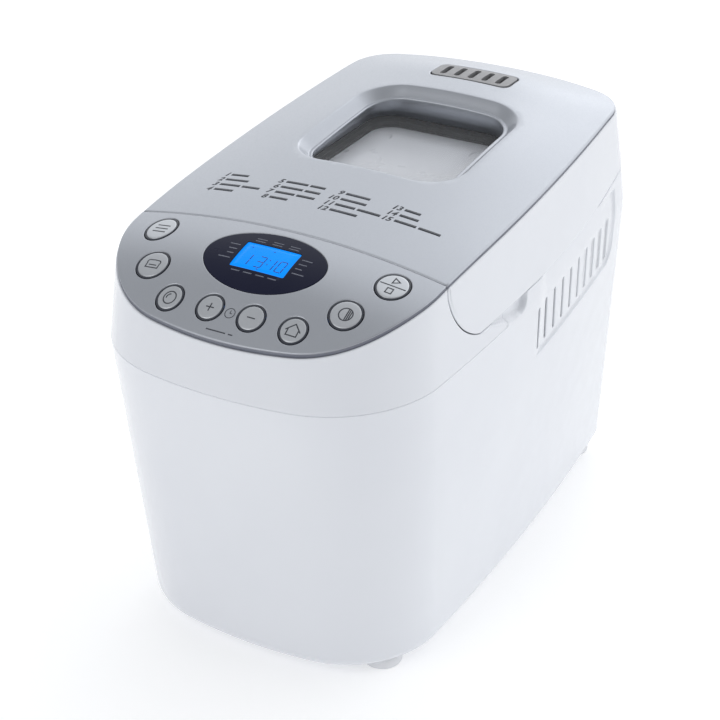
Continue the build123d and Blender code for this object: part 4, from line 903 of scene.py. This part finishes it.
def turned_on_crown(profile, place, squeeze):
    """Rings of (radius, height) round a place on the crown, closed by a middle point at both ends."""
    circle = unit_circle(CIRCLE_STEPS)
    first, last = (on_crown([(0, 0)], place, squeeze, profile[end][1]) for end in (0, -1))
    points = [on_crown(circle * radius, place, squeeze, height) for radius, height in profile[1:]]
    rings = row_numbers(len(points), CIRCLE_STEPS, 1)
    faces = ring_faces(rings)
    for ring, middle in ((rings[0][::-1], 0), (rings[-1], rings[-1][-1] + 1)):
        faces += [(middle, after, before) for before, after in zip(ring, ring[1:] + ring[:1])]
    return np.concatenate([first, *points, last]), faces


def buttons():
    """Silver caps with a dark collar round each, and the marks on them."""
    circle = unit_circle(CIRCLE_STEPS)
    for node, (x, y, radius, half_y) in BUTTONS.items():
        squeeze = half_y / radius
        face = radius - RING_WIDTH
        cap = [(face * k / FACE_RINGS, BUTTON_PROUD) for k in range(FACE_RINGS)]
        cap += [(face + out, height) for out, height in CAP_SECTION] + list(STEM_SECTION)
        points, faces = turned_on_crown(cap, (x, y), squeeze)
        make_piece(f"{node}_cap", points, faces, node, "button_silver", (node,))
        rings = row_numbers(len(COLLAR_SECTION), CIRCLE_STEPS)
        collar = [on_crown(circle * (face + out), (x, y), squeeze, height) for out, height in COLLAR_SECTION]
        faces = ring_faces(rings + rings[:1])
        make_piece(f"{node}_collar", np.concatenate(collar), faces, node, "plastic_black", material=COLLAR)
        draw_strokes(f"{node}_mark", BUTTON_MARKS[node], (x, y), squeeze, MARK_WIDTH, node, BUTTON_PROUD)


def arc_line(center, radius, start, end, steps=20):
    """Arc between two angles in degrees, as a list of points."""
    arc = unit_circle(steps, math.radians(start), math.radians(end - start), closed=True)
    return [tuple(point) for point in arc * radius + center]


def ribbon(line, width):
    """Left and right edges of a stroke along a line, with its ends drawn out a little."""
    line = np.array(line, float)
    if np.allclose(line[0], line[-1]) and len(line) > 3:
        normals = left_normals(line[:-1], True)
        normals = np.concatenate([normals, normals[:1]])
    else:
        line[0] -= unit(line[1] - line[0]) * width * STROKE_END
        line[-1] += unit(line[-1] - line[-2]) * width * STROKE_END
        normals = left_normals(line, False)
    return line + normals * width / 2, line - normals * width / 2


def draw_strokes(name, lines, place, squeeze, width, body, height=0.0, material=None, slot="plastic_black"):
    """Printed lines on the crown, as one thin raised piece."""
    points, faces = [], []
    for line in lines:
        line = resampled(line, 1.0)
        left, right = ribbon(line, width)
        start = len(points)
        sides = [on_crown(edge, place, squeeze, height + INK_LIFT) for edge in (left, right)]
        points += [corner for pair in zip(*sides) for corner in pair]
        faces += [(i, i + 1, i + 3, i + 2) for i in range(start, len(points) - 2, 2)]
    make_piece(name, points, faces, body, slot, thickness=INK_THICK, material=material or INK)


def box_line(low, high):
    """Closed rectangle as a line."""
    return [(low[0], low[1]), (high[0], low[1]), (high[0], high[1]), (low[0], high[1]), (low[0], low[1])]


LOAF = [(-4.2, -2.6), (4.2, -2.6), (4.2, 0.6), *arc_line((2.9, 1.4), 1.6, -20, 100, 8), (0, 3.2),
        *arc_line((-2.9, 1.4), 1.6, 80, 200, 8), (-4.2, 0.6), (-4.2, -2.6)]
HOUSE = [(-3.4, 0.2), (-3.4, -3.6), (3.4, -3.6), (3.4, 0.2)]
BUTTON_MARKS = {
    "button_menu": [[(-4.2, h), (4.2, h)] for h in (-2.6, 0.0, 2.6)],
    "button_start": [[(-8.0, 0), (8.0, 0)], [(-1.6, 2.0), (-1.6, 6.2), (2.4, 4.1), (-1.6, 2.0)],
                     box_line((-1.9, -5.8), (1.9, -2.2))],
    "button_loaf_size": [LOAF, [(-2.4, -0.6), (2.4, -0.6)]],
    "button_crust_color": [arc_line((0, 0), 4.2, 0, 360, 36), [(0.6, -3.8), (0.6, 3.8)],
                           [(1.7, -3.5), (1.7, 3.5)], [(2.8, -2.8), (2.8, 2.8)]],
    "button_dough": [arc_line((0, -0.2), 3.9, 0, 360, 36), arc_line((0, -0.2), 2.2, 100, 190, 10)],
    "button_home_made": [HOUSE, [(-4.6, -0.4), (0, 4.0), (4.6, -0.4)]],
    "button_plus": [[(-2.4, 0), (2.4, 0)], [(0, -2.4), (0, 2.4)]],
    "button_minus": [[(-2.4, 0), (2.4, 0)]],
}
SEGMENTS = {
    "a": ((0, 2), (1, 2)), "b": ((1, 2), (1, 1)), "c": ((1, 1), (1, 0)), "d": ((0, 0), (1, 0)),
    "e": ((0, 1), (0, 0)), "f": ((0, 2), (0, 1)), "g": ((0, 1), (1, 1)),
}
DIGITS = {"1": "bc", "3": "abgcd", "0": "abcdef"}
DIGIT_SIZE = (4.4, 4.6)
DIGIT_SLANT = 0.06
DIGIT_TRIM = 0.45
DIGIT_LOW = -8.2
# each digit with its left edge, from the middle of the lit display
DIGIT_PLACES = (("1", -13.0), ("3", -3.4), ("1", 3.6), ("0", 10.6))
DISPLAY_DOTS = [[(3.5, -4.7), (3.5, -4.0)], [(3.7, -0.8), (3.7, -0.1)], [(-13.5, 7.4), (-12.5, 7.4)],
                [(1.5, 7.4), (2.5, 7.4)], [(-1.0, -9.6), (0.0, -9.6)]]
# bars above and below the lit display, and beside it as (length, up)
TOP_BARS_X = (-11.5, 0.0, 11.5)
TOP_BARS_UP = (13.6, 16.0)
LOW_BARS_X = (-12.5, -4.2, 4.2, 12.5)
LOW_BARS_UP = -14.2
SIDE_BARS_X = 21.5
SIDE_BARS = ((6.5, 6.6), (5.0, 2.4), (4.0, -1.8), (7.5, -6.0))
LIT_SHARES = (1.0, 0.75, 0.5, 0.25)
LIT_DEPTH = 0.3
LIT_THICK = 4.0


def digit_lines(digit, left):
    """Seven-segment strokes of a digit, each a little short of its neighbours."""
    lines = []
    for segment in DIGITS[digit]:
        start, end = np.array(SEGMENTS[segment]) * DIGIT_SIZE + (left, DIGIT_LOW)
        trim = unit(end - start) * DIGIT_TRIM
        line = np.array([start + trim, end - trim])
        line[:, 0] += DIGIT_SLANT * line[:, 1]
        lines.append(line)
    return lines


def display():
    """Dark oval lens with the lit display set in it, its digits, and plain bars for its legends."""
    sheet = Sheet(crown_place, 0.35, 2.6)
    sheet.cut(ellipse_loop((0, DISPLAY_Y), DISPLAY_HALF, DISPLAY_STEPS))
    hole = (LCD_HALF[0], LCD_HALF[1] * DISPLAY_SQUEEZE)
    sheet.cut(rounded_loop(LCD_CENTER, hole, 0.9, 4, 3.0, clockwise=True))
    sheet.seed((-50, -180), (50, -100), 3.0)
    points, faces = sheet.build(0.7)
    make_piece("display_window", points, faces, "root", "lens_dark", ("display_lens",), 1.2)
    lit = rounded_loop((0, 0), np.add(LCD_HALF, -0.05), 0.9, 4, 3.0)
    layers = [(1.0, -LIT_DEPTH - LIT_THICK)] + [(share, -LIT_DEPTH) for share in LIT_SHARES]
    points = [on_crown(lit * share, LCD_CENTER, DISPLAY_SQUEEZE, lift) for share, lift in layers]
    faces = capped_faces(len(layers), len(lit))
    make_piece("display_lit", np.concatenate(points), faces, "root", "lcd_blue", ("lcd_module",))
    lines = [line for digit, left in DIGIT_PLACES for line in digit_lines(digit, left)] + DISPLAY_DOTS
    place = (LCD_CENTER, DISPLAY_SQUEEZE)
    draw_strokes("display_digits", lines, *place, 0.6, "root", -LIT_DEPTH, LCD_INK, "lens_dark")
    bars = [(x, up, 3.2) for x in TOP_BARS_X for up in TOP_BARS_UP]
    bars += [(side * (SIDE_BARS_X + reach / 2), up, reach / 2) for reach, up in SIDE_BARS for side in (-1, 1)]
    bars += [(x, LOW_BARS_UP, 2.6) for x in LOW_BARS_X]
    legends = [[(x - half, up), (x + half, up)] for x, up, half in bars]
    draw_strokes("display_legends", legends, *place, MARK_WIDTH, "root", 0.0, LEGEND, "vent_grey")
    clock = [arc_line((0, 0), 3.1, 0, 360, 30), [(0, 1.7), (0, 0), (1.2, -0.2)]]
    draw_strokes("timer_clock", clock, CLOCK_PLACE, TIMER_SQUEEZE, 0.5, "root")
    timer = [[(-9.0, 0), (3.5, 0)], [(6.0, 0), (8.4, 0)]]
    draw_strokes("timer_bar", timer, TIMER_PLACE, TIMER_SQUEEZE, 0.8, "root")


# the program list: each column's left edge with its first and last number
PROGRAM_COLUMNS = ((-78.0, 1, 4), (-37.0, 5, 8), (6.0, 9, 12), (47.0, 13, 15))
# lengths of the bars beside each number
PROGRAM_BARS = ((11,), (15,), (13, 11), (12,), (14, 9), (14, 9), (12, 11), (11,),
                (15,), (16,), (12, 14), (17,), (9,), (11,), (13, 13))
PROGRAM_TOP_Y = -56.5
PROGRAM_PITCH = 6.9
NUMBER_HEIGHT = 5.0
NUMBER_WEIGHT = 0.22
# size of the type for digits of height 1
TYPE_SIZE = 1.35
BAR_WIDTH = 2.6
BAR_GAP = 2.4


def number_mesh(text):
    """Outline of a printed number, as flat triangles in millimetres."""
    curve = bpy.data.curves.new("number", "FONT")
    curve.body = text
    curve.size = NUMBER_HEIGHT * TYPE_SIZE
    curve.resolution_u = 3
    curve.shear = 0.2
    curve.offset = NUMBER_WEIGHT
    holder = add_object("number", curve)
    mesh = bpy.data.meshes.new_from_object(holder.evaluated_get(bpy.context.evaluated_depsgraph_get()))
    points = np.array([v.co[:2] for v in mesh.vertices])
    faces = [tuple(p.vertices) for p in mesh.polygons]
    bpy.data.objects.remove(holder)
    bpy.data.meshes.remove(mesh)
    bpy.data.curves.remove(curve)
    return points, faces


def program_list():
    """Program numbers printed on the lid, with plain bars beside them."""
    points, faces, bars = [], [], []
    for left, first, last in PROGRAM_COLUMNS:
        for number in range(first, last + 1):
            y = PROGRAM_TOP_Y - (number - first) * PROGRAM_PITCH
            outline, parts = number_mesh(str(number))
            width = outline[:, 0].max()
            faces += [tuple(i + len(points) for i in part) for part in parts]
            points += list(on_crown(outline + np.array([-width, 0]), (left, y), 1.0, INK_LIFT))
            middle = y + NUMBER_HEIGHT * 0.45
            start = left + BAR_GAP
            for length in PROGRAM_BARS[number - 1]:
                bars.append([(start, middle), (start + length, middle)])
                start += length + BAR_GAP + 1.0
    make_piece("program_numbers", points, faces, "lid", "plastic_black", thickness=INK_THICK, material=INK)
    draw_strokes("program_bars", bars, (0, 0), 1.0, BAR_WIDTH, "lid")


# ------------------------------------------------------------------ white walls

# the finger scoop's edge in side view, as (y, z), with its depth and the width of its slope
SCOOP_START = (-68.0, 220.5)
SCOOP_FRONT = (-46.0, 211.2)
SCOOP_LOW = (-24.0, 207.4)
SCOOP_BACK = (-15.0, 209.4)
SCOOP_END = (-12.0, 220.5)
SCOOP_DEPTH = 3.8
SCOOP_SLOPE = 1.6
# the vent recess's lower and rear edge in side view
RECESS_START = (8.0, 159.3)
RECESS_TURN = (134.0, 169.2)
RECESS_CORNER = (148.0, 174.2)
RECESS_SIDE = (151.5, 184.0)
RECESS_TOP = (149.0, 226.0)
RECESS_DEPTH = 1.5
RECESS_SLOPE = 1.2
RECESS_FADE = 16.0
SLOT_COUNT = 10
SLOT_PITCH = 14.3
SLOT_FIRST_Y = 11.6
SLOT_FIRST_Z = 181.0
SLOT_RISE = 1.1
SLOT_HALF = (1.7, 16.0)
SLOT_LEAN = 0.13
BODY_EDGE_DROP = 0.4
BODY_EDGE_Z = LID_EDGE_Z - BODY_EDGE_DROP
LID_EDGE_RAISE = 0.1
TAB_GAP = 0.2
FLANGE_WIDTH = 24.0
HINGE_Y = 193.0
HINGE_Z = 241.0
KNUCKLE_RADIUS = 5.5
KNUCKLE_STEPS = 24
EDGE_ROUND = 0.5
# each knuckle's body, its span along X on the right, and how far its web reaches up or down
KNUCKLES = (("lid", (34.0, 56.0), 14.0), ("root", (22.0, 33.4), -13.0), ("root", (56.6, 68.0), -13.0))
# the upright walls either side of the split
CROSS_HALF_X = 103.5
CROSS_THICK = 2.4
CROSS_STEPS = 60
CROSS_ROWS = 8
LID_FRONT_GAP = 2.5
FOOT_NODES = ("foot_front_left", "foot_front_right", "foot_rear_left", "foot_rear_right")
FOOT_SHIFT = 10.0
FOOT_STEPS = 40
# section of a foot from its underside up, as (radius, height)
FOOT_SECTION = ((6.0, 1.2), (7.0, 0.3), (8.0, 0.0), (11.6, 0.0), (12.6, 0.4), (13.1, 1.3), (13.4, 11.5))
GLAND_PLACE = (-70.0, 40.0)
GLAND_STEPS = 36
# section of the cord gland from its edge to the bottom of its bore, as (radius, height off the wall)
GLAND_SECTION = ((11.0, -1.0), (11.0, 1.2), (10.6, 1.6), (8.7, 1.8), (8.3, 2.2), (8.1, 4.2), (7.7, 4.6),
                 (5.3, 4.6), (4.8, 4.3), (4.6, 3.9), (4.4, 0.6), (0.5, 0.6))

scoop_rim = np.concatenate([
    three_point_arc(SCOOP_START, SCOOP_FRONT, SCOOP_LOW, 40),
    three_point_arc(SCOOP_LOW, SCOOP_BACK, SCOOP_END, 30)[1:],
])
recess_line = np.concatenate([
    resampled([RECESS_START, RECESS_TURN], 2.0)[:-1],
    three_point_arc(RECESS_TURN, RECESS_CORNER, RECESS_SIDE, 14),
    resampled([RECESS_SIDE, RECESS_TOP], 2.0)[1:],
])
recess_region = np.concatenate([recess_line, [(RECESS_START[0], RECESS_TOP[1])]])


def distance_to(points, line):
    """Distance from each point to a chain of straight pieces."""
    best = np.full(len(points), np.inf)
    for start, along in zip(line[:-1], np.diff(line, axis=0)):
        share = np.clip(((points - start) @ along) / (along @ along), 0, 1)
        best = np.minimum(best, np.linalg.norm(points - start - share[:, None] * along, axis=1))
    return best


def side_relief(y, z):
    """How far the finger scoop and the vent recess sink into the side at (y, z)."""
    spot = columns(y, z)
    scoop = np.where(inside_polygon(spot, scoop_rim), distance_to(spot, scoop_rim), 0)
    recess = np.where(inside_polygon(spot, recess_region), distance_to(spot, recess_line), 0)
    fade = smooth_step(RECESS_START[0], RECESS_START[0] + RECESS_FADE, y)
    recess_depth = RECESS_DEPTH * smooth_step(0, RECESS_SLOPE, recess) * fade
    return SCOOP_DEPTH * smooth_step(0, SCOOP_SLOPE, scoop) + recess_depth


def plain_place(points, depth):
    """Places wall coordinates on the white wall."""
    return wall_point(points[:, 0], points[:, 1], depth)


def relief_place(points, depth):
    """Places wall coordinates on the white wall, with its scoop and vent recess."""
    base = plain_place(points, 0.0)
    return plain_place(points, depth + side_relief(base[:, 1], base[:, 2]))


def wall_coordinates(side_view):
    """Turns (y, z) places on the flat of the side into wall coordinates."""
    side_view = np.asarray(side_view, float)
    return columns(s_of(side_view[:, 0], side_view[:, 1]), side_view[:, 1])


def rear_edge(offset):
    """The lid's lower edge from the middle of the rear to y = 0."""
    s = spaced(REAR_LENGTH, 0.0, 3.0)
    z = np.full(len(s), LID_EDGE_Z)
    for _ in range(6):
        z = lid_edge_height(plain_place(columns(s, z), 0.0)[:, 1]) + offset
    return columns(s, z)


def tab_edge(offset, shift):
    """The lid's grip tab, from the level edge up to the split and on to the rim."""
    step = 1.2
    split_y = SPLIT_Y + shift
    middle = (TAB_MIDDLE[0] + shift, TAB_MIDDLE[1] + offset)
    curve = three_point_arc((TAB_LOW_Y, LID_EDGE_Z + offset), middle, (split_y, TAB_HIGH_Z), int(50 / step))
    rim = float(rim_height(s_of(split_y, SPLIT_TOP_Z), TRIM_DEPTH))
    return np.concatenate([curve, resampled([(split_y, TAB_HIGH_Z), (split_y, rim)], step)[1:]])


def rim_chain(s_start, s_end):
    """Upper edge of the white wall between two wall coordinates."""
    s = spaced(s_start, s_end, 3.0)
    return columns(s, rim_height(s, TRIM_DEPTH))


def white_skin(name, sheet, body, replaces):
    """Builds a half sheet and its mirror image as one white piece."""
    points, faces = mirrored(*sheet.build())
    make_piece(name, points, faces, body, "body_white", (replaces,), WALL)


def lower_body():
    """White body below the console and the lid, with scoops, vent recess and slots."""
    sheet = Sheet(relief_place, 0.6, WALL)
    rear = rear_edge(-BODY_EDGE_DROP)
    scoop_y = SCOOP_END[0] + 3
    side = wall_coordinates(np.concatenate([
        resampled([(0.0, BODY_EDGE_Z), (scoop_y, BODY_EDGE_Z)], 2.0)[1:-1],
        resampled([(scoop_y, BODY_EDGE_Z), (CONSOLE_END_Y, BODY_EDGE_Z)], 1.0),
        resampled([(CONSOLE_END_Y, BODY_EDGE_Z), (CONSOLE_END_Y, SEAM_Z)], 1.0)[1:],
    ]))
    seam = resampled([(side[-1, 0], SEAM_Z), (-FRONT_LENGTH, SEAM_Z)], 4.0)[1:]
    sheet.cut(np.concatenate([rear, side, seam]), closed=False, ends=((0, -1), (0, -1)))
    low_v = BOTTOM_Z + BOTTOM_ROUND * (1 - math.pi / 2) - FLANGE_WIDTH
    path = [(-FRONT_LENGTH, SEAM_Z), (-FRONT_LENGTH, low_v), (REAR_LENGTH, low_v), (REAR_LENGTH, rear[0, 1])]
    sheet.join(resampled(path, 4.0))
    slot = rounded_loop((0, 0), SLOT_HALF, SLOT_HALF[0] * 0.98, 4, 3.0, clockwise=True)
    slot[:, 0] -= slot[:, 1] * SLOT_LEAN
    for i in range(SLOT_COUNT):
        place = (SLOT_FIRST_Y + i * SLOT_PITCH, SLOT_FIRST_Z + i * SLOT_RISE)
        sheet.cut(slot + wall_coordinates([place])[0])
    sheet.seed((-FRONT_LENGTH, low_v), (REAR_LENGTH, 240.0), 6.0)
    sheet.seed((-FRONT_LENGTH, low_v + FLANGE_WIDTH - 4), (REAR_LENGTH, BOTTOM_Z + BOTTOM_ROUND + 3), 3.0)
    sheet.seed((-76.0, 200.0), (-4.0, 220.0), 1.1)
    sheet.seed_beside(wall_coordinates(recess_line), (-0.5, 0.0, 0.4, 0.8, 1.2, 1.8))
    white_skin("lower_body_skin", sheet, "root", "lower_body_shell")


def console_band():
    """White band round the console, with the wings that run back under the lid."""
    sheet = Sheet(relief_place, 0.6, WALL)
    side = wall_coordinates(np.concatenate([
        resampled([(CONSOLE_END_Y, SEAM_Z), (CONSOLE_END_Y, BODY_EDGE_Z)], 1.0)[1:],
        resampled([(CONSOLE_END_Y, BODY_EDGE_Z), (TAB_LOW_Y, BODY_EDGE_Z)], 1.0)[1:-1],
        tab_edge(-BODY_EDGE_DROP, -TAB_GAP),
    ]))
    s_end = float(s_of(CONSOLE_END_Y, SEAM_Z))
    seam = resampled([(-FRONT_LENGTH, SEAM_Z), (s_end, SEAM_Z)], 3.0)
    chain = np.concatenate([seam, side, rim_chain(side[-1, 0], -FRONT_LENGTH)[1:]])
    sheet.cut(chain, closed=False, ends=((0, 1), (0, -1)))
    sheet.join(resampled([chain[-1], chain[0]], 4.0))
    sheet.seed((-FRONT_LENGTH, SEAM_Z), (s_end, 275.0), 5.0)
    sheet.seed((-76.0, 206.0), (s_end, 220.0), 1.1)
    white_skin("console_band", sheet, "root", "console_cover")


def lid_skirt():
    """White side wall of the lid, with its grip tabs."""
    sheet = Sheet(plain_place, 0.8, WALL)
    tab = wall_coordinates(tab_edge(LID_EDGE_RAISE, TAB_GAP))[::-1]
    edge_z = LID_EDGE_Z + LID_EDGE_RAISE
    level = wall_coordinates(resampled([(TAB_LOW_Y, edge_z), (0.0, edge_z)], 3.0))[1:-1]
    rim = rim_chain(REAR_LENGTH, tab[0, 0])
    chain = np.concatenate([rim[:-1], tab, level, rear_edge(LID_EDGE_RAISE)[::-1]])
    sheet.cut(chain, closed=False, ends=((0, -1), (0, 1)))
    sheet.join(resampled([chain[-1], chain[0]], 4.0))
    sheet.seed((-120.0, 215.0), (REAR_LENGTH, 295.0), 5.0)
    white_skin("lid_skirt", sheet, "lid", "lid_frame")


def cross_wall(name, body, y, low_z):
    """Upright wall along the split, under the crown."""
    xs = np.linspace(-CROSS_HALF_X, CROSS_HALF_X, CROSS_STEPS)
    ys = split_line(xs, y)
    top = crown_z(xs, ys) - TRIM_DEPTH - 0.6
    rows = [columns(xs, ys, low_z + (top - low_z) * row / CROSS_ROWS) for row in range(CROSS_ROWS + 1)]
    faces = ring_faces(row_numbers(len(rows), CROSS_STEPS), closed=False)
    piece = make_piece(name, np.concatenate(rows), faces, body, "body_white")
    thicken(piece, CROSS_THICK, 0.0)
    round_edges(piece)


def round_edges(piece):
    """Rounds a piece's sharp edges and bakes the result."""
    edge = piece.modifiers.new("edge", "BEVEL")
    edge.width = EDGE_ROUND * MM
    edge.segments = 2
    edge.limit_method = "ANGLE"
    edge.harden_normals = True
    bake_modifiers(piece)


def knuckles():
    """Hinge barrels of the lid and of the body, each with its web."""
    for body, span, reach in KNUCKLES:
        turn = math.copysign(math.pi, reach)
        barrel = unit_circle(KNUCKLE_STEPS, -turn, turn, closed=True) * KNUCKLE_RADIUS + (HINGE_Y, HINGE_Z)
        web_z = HINGE_Z + reach
        outline = [(HINGE_Y - KNUCKLE_RADIUS, web_z), *barrel, (HINGE_Y + 1.0, web_z)]
        for side, hand in ((-1, "left"), (1, "right")):
            points = [(x, y, z) for x in sorted(side * x for x in span) for y, z in outline]
            faces = capped_faces(2, len(outline))
            piece = make_piece(f"{body}_knuckle_{hand}_{int(span[0])}", points, faces, body, "body_white")
            round_edges(piece)


def cord_gland():
    """Dark gland on the left of the rear wall, square to it, with a blind bore."""
    x, z = GLAND_PLACE
    s = np.linspace(REAR_LENGTH * 0.5, REAR_LENGTH, 400)
    spots = wall_point(s, np.full(len(s), z), 0.0) * MIRROR
    nearest = int(np.argmin(np.abs(spots[:, 0] - x)))
    along = unit(spots[nearest + 1] - spots[nearest])
    outward = np.array([-along[1], along[0], 0])
    circle = unit_circle(GLAND_STEPS) @ np.array([along, (0, 0, 1)])
    points = [spots[nearest] + circle * radius + outward * height for radius, height in GLAND_SECTION]
    faces = capped_faces(len(points), GLAND_STEPS)
    make_piece("cord_gland_ring", np.concatenate(points), faces, "root", "plastic_black", ("cord_gland",))


def feet():
    """Pale round feet, a little further out than the screws that hold them."""
    for node in FOOT_NODES:
        low, high = node_box(node)
        middle = (low + high) / 2
        center = (middle.x + math.copysign(FOOT_SHIFT, middle.x), middle.y)
        rings = [np.column_stack([unit_circle(FOOT_STEPS) * radius + center, np.full(FOOT_STEPS, height)])
                 for radius, height in FOOT_SECTION]
        faces = capped_faces(len(rings), FOOT_STEPS)
        make_piece(f"{node}_pad", np.concatenate(rings), faces, "root", "foot_rubber", (node,))


# ------------------------------------------------------------------ camera, floor and light

CAMERA_PLACE = (0.49818, -0.91849, 0.72105)
CAMERA_AZIMUTH = math.radians(29.1)
CAMERA_ELEVATION = math.radians(29.4)
CAMERA_LENS = 87.67
# the surroundings are dim in front and overhead, and brightest low down behind the machine
SKY_DIM = 0.50
SKY_BRIGHT = 1.80
SKY_START = -0.1
SKY_COLOR = (0.965, 0.98, 1.0)
BRIGHT_SIDE = (0.15, 0.98, -0.10)
FLOOR_GLOW = 0.30
FLOOR_REACH = 40.0
# soft boxes: name, place, target and size in metres, and power in watts
SOFT_BOXES = (
    ("key_light", (-0.7, -1.5, 1.6), (0, 0, 0.12), 1.3, 7.0),
    ("back_light", (-0.25, 1.9, 1.25), (0, 0, 0.28), 0.7, 1.5),
)


def set_camera():
    """Camera at the front right, a little above the lid."""
    back = Vector((
        math.sin(CAMERA_AZIMUTH) * math.cos(CAMERA_ELEVATION),
        -math.cos(CAMERA_AZIMUTH) * math.cos(CAMERA_ELEVATION),
        math.sin(CAMERA_ELEVATION),
    ))
    right = Vector((math.cos(CAMERA_AZIMUTH), math.sin(CAMERA_AZIMUTH), 0))
    up = back.cross(right)
    data = bpy.data.cameras.new("camera")
    data.lens = CAMERA_LENS
    camera = add_object("camera", data)
    camera.matrix_world = Matrix.Translation(CAMERA_PLACE) @ Matrix((right, up, back)).transposed().to_4x4()
    bpy.context.scene.camera = camera


def lay_floor():
    """Pale plain floor, far larger than the view."""
    mesh = bpy.data.meshes.new("floor")
    corners = [(x * FLOOR_REACH, y * FLOOR_REACH, 0) for x, y in ((-1, -1), (1, -1), (1, 1), (-1, 1))]
    mesh.from_pydata(corners, [], [(0, 1, 2, 3)])
    floor = add_object("floor", mesh)
    recipe = Recipe("floor_white", (0.9, 0.9, 0.9), 0.7, Emission_Strength=FLOOR_GLOW)
    shade = recipe.blend(recipe.noise(2.0), (0.90, 0.90, 0.90), (0.92, 0.92, 0.92))
    recipe.set(Base_Color=shade, Emission_Color=(1.0, 1.0, 1.0))
    mesh.materials.append(recipe.material)


def soft_light(name, place, target, size, power):
    """Square soft box aimed at a point."""
    data = bpy.data.lights.new(name, "AREA")
    data.size = size
    data.energy = power
    light = add_object(name, data)
    light.location = place
    light.rotation_euler = (Vector(target) - Vector(place)).to_track_quat("-Z", "Y").to_euler()


def set_lights():
    """Soft surroundings that brighten towards one side, with two soft boxes."""
    world = bpy.data.worlds.new("studio")
    world.use_nodes = True
    tree = world.node_tree
    toward = add_node(tree, "VectorMath")
    toward.operation = "DOT_PRODUCT"
    fill(tree, toward.inputs[0], add_node(tree, "TexCoord").outputs["Generated"])
    fill(tree, toward.inputs[1], BRIGHT_SIDE)
    limits = {"From_Min": SKY_START, "From_Max": 1.0, "To_Min": SKY_DIM, "To_Max": SKY_BRIGHT}
    sky = add_node(tree, "MapRange", Value=toward.outputs["Value"], **limits)
    fill(tree, tree.nodes["Background"].inputs["Color"], SKY_COLOR)
    fill(tree, tree.nodes["Background"].inputs["Strength"], sky.outputs["Result"])
    bpy.context.scene.world = world
    for name, place, target, size, power in SOFT_BOXES:
        soft_light(name, place, target, size, power)
    bpy.context.scene.view_settings.view_transform = "Standard"


set_camera()
lay_floor()
set_lights()
finish_cad_nodes()
lid_top()
window_insides()
vent_seat()
lower_body()
console_band()
lid_skirt()
cross_wall("lid_front_wall", "lid", SPLIT_Y + SPLIT_GAP + LID_FRONT_GAP + CROSS_THICK / 2, LID_EDGE_Z + 0.4)
cross_wall("console_rear_wall", "root", SPLIT_Y - SPLIT_GAP - CROSS_THICK / 2, SEAM_Z)
knuckles()
cord_gland()
feet()
control_panel()
buttons()
display()
program_list()
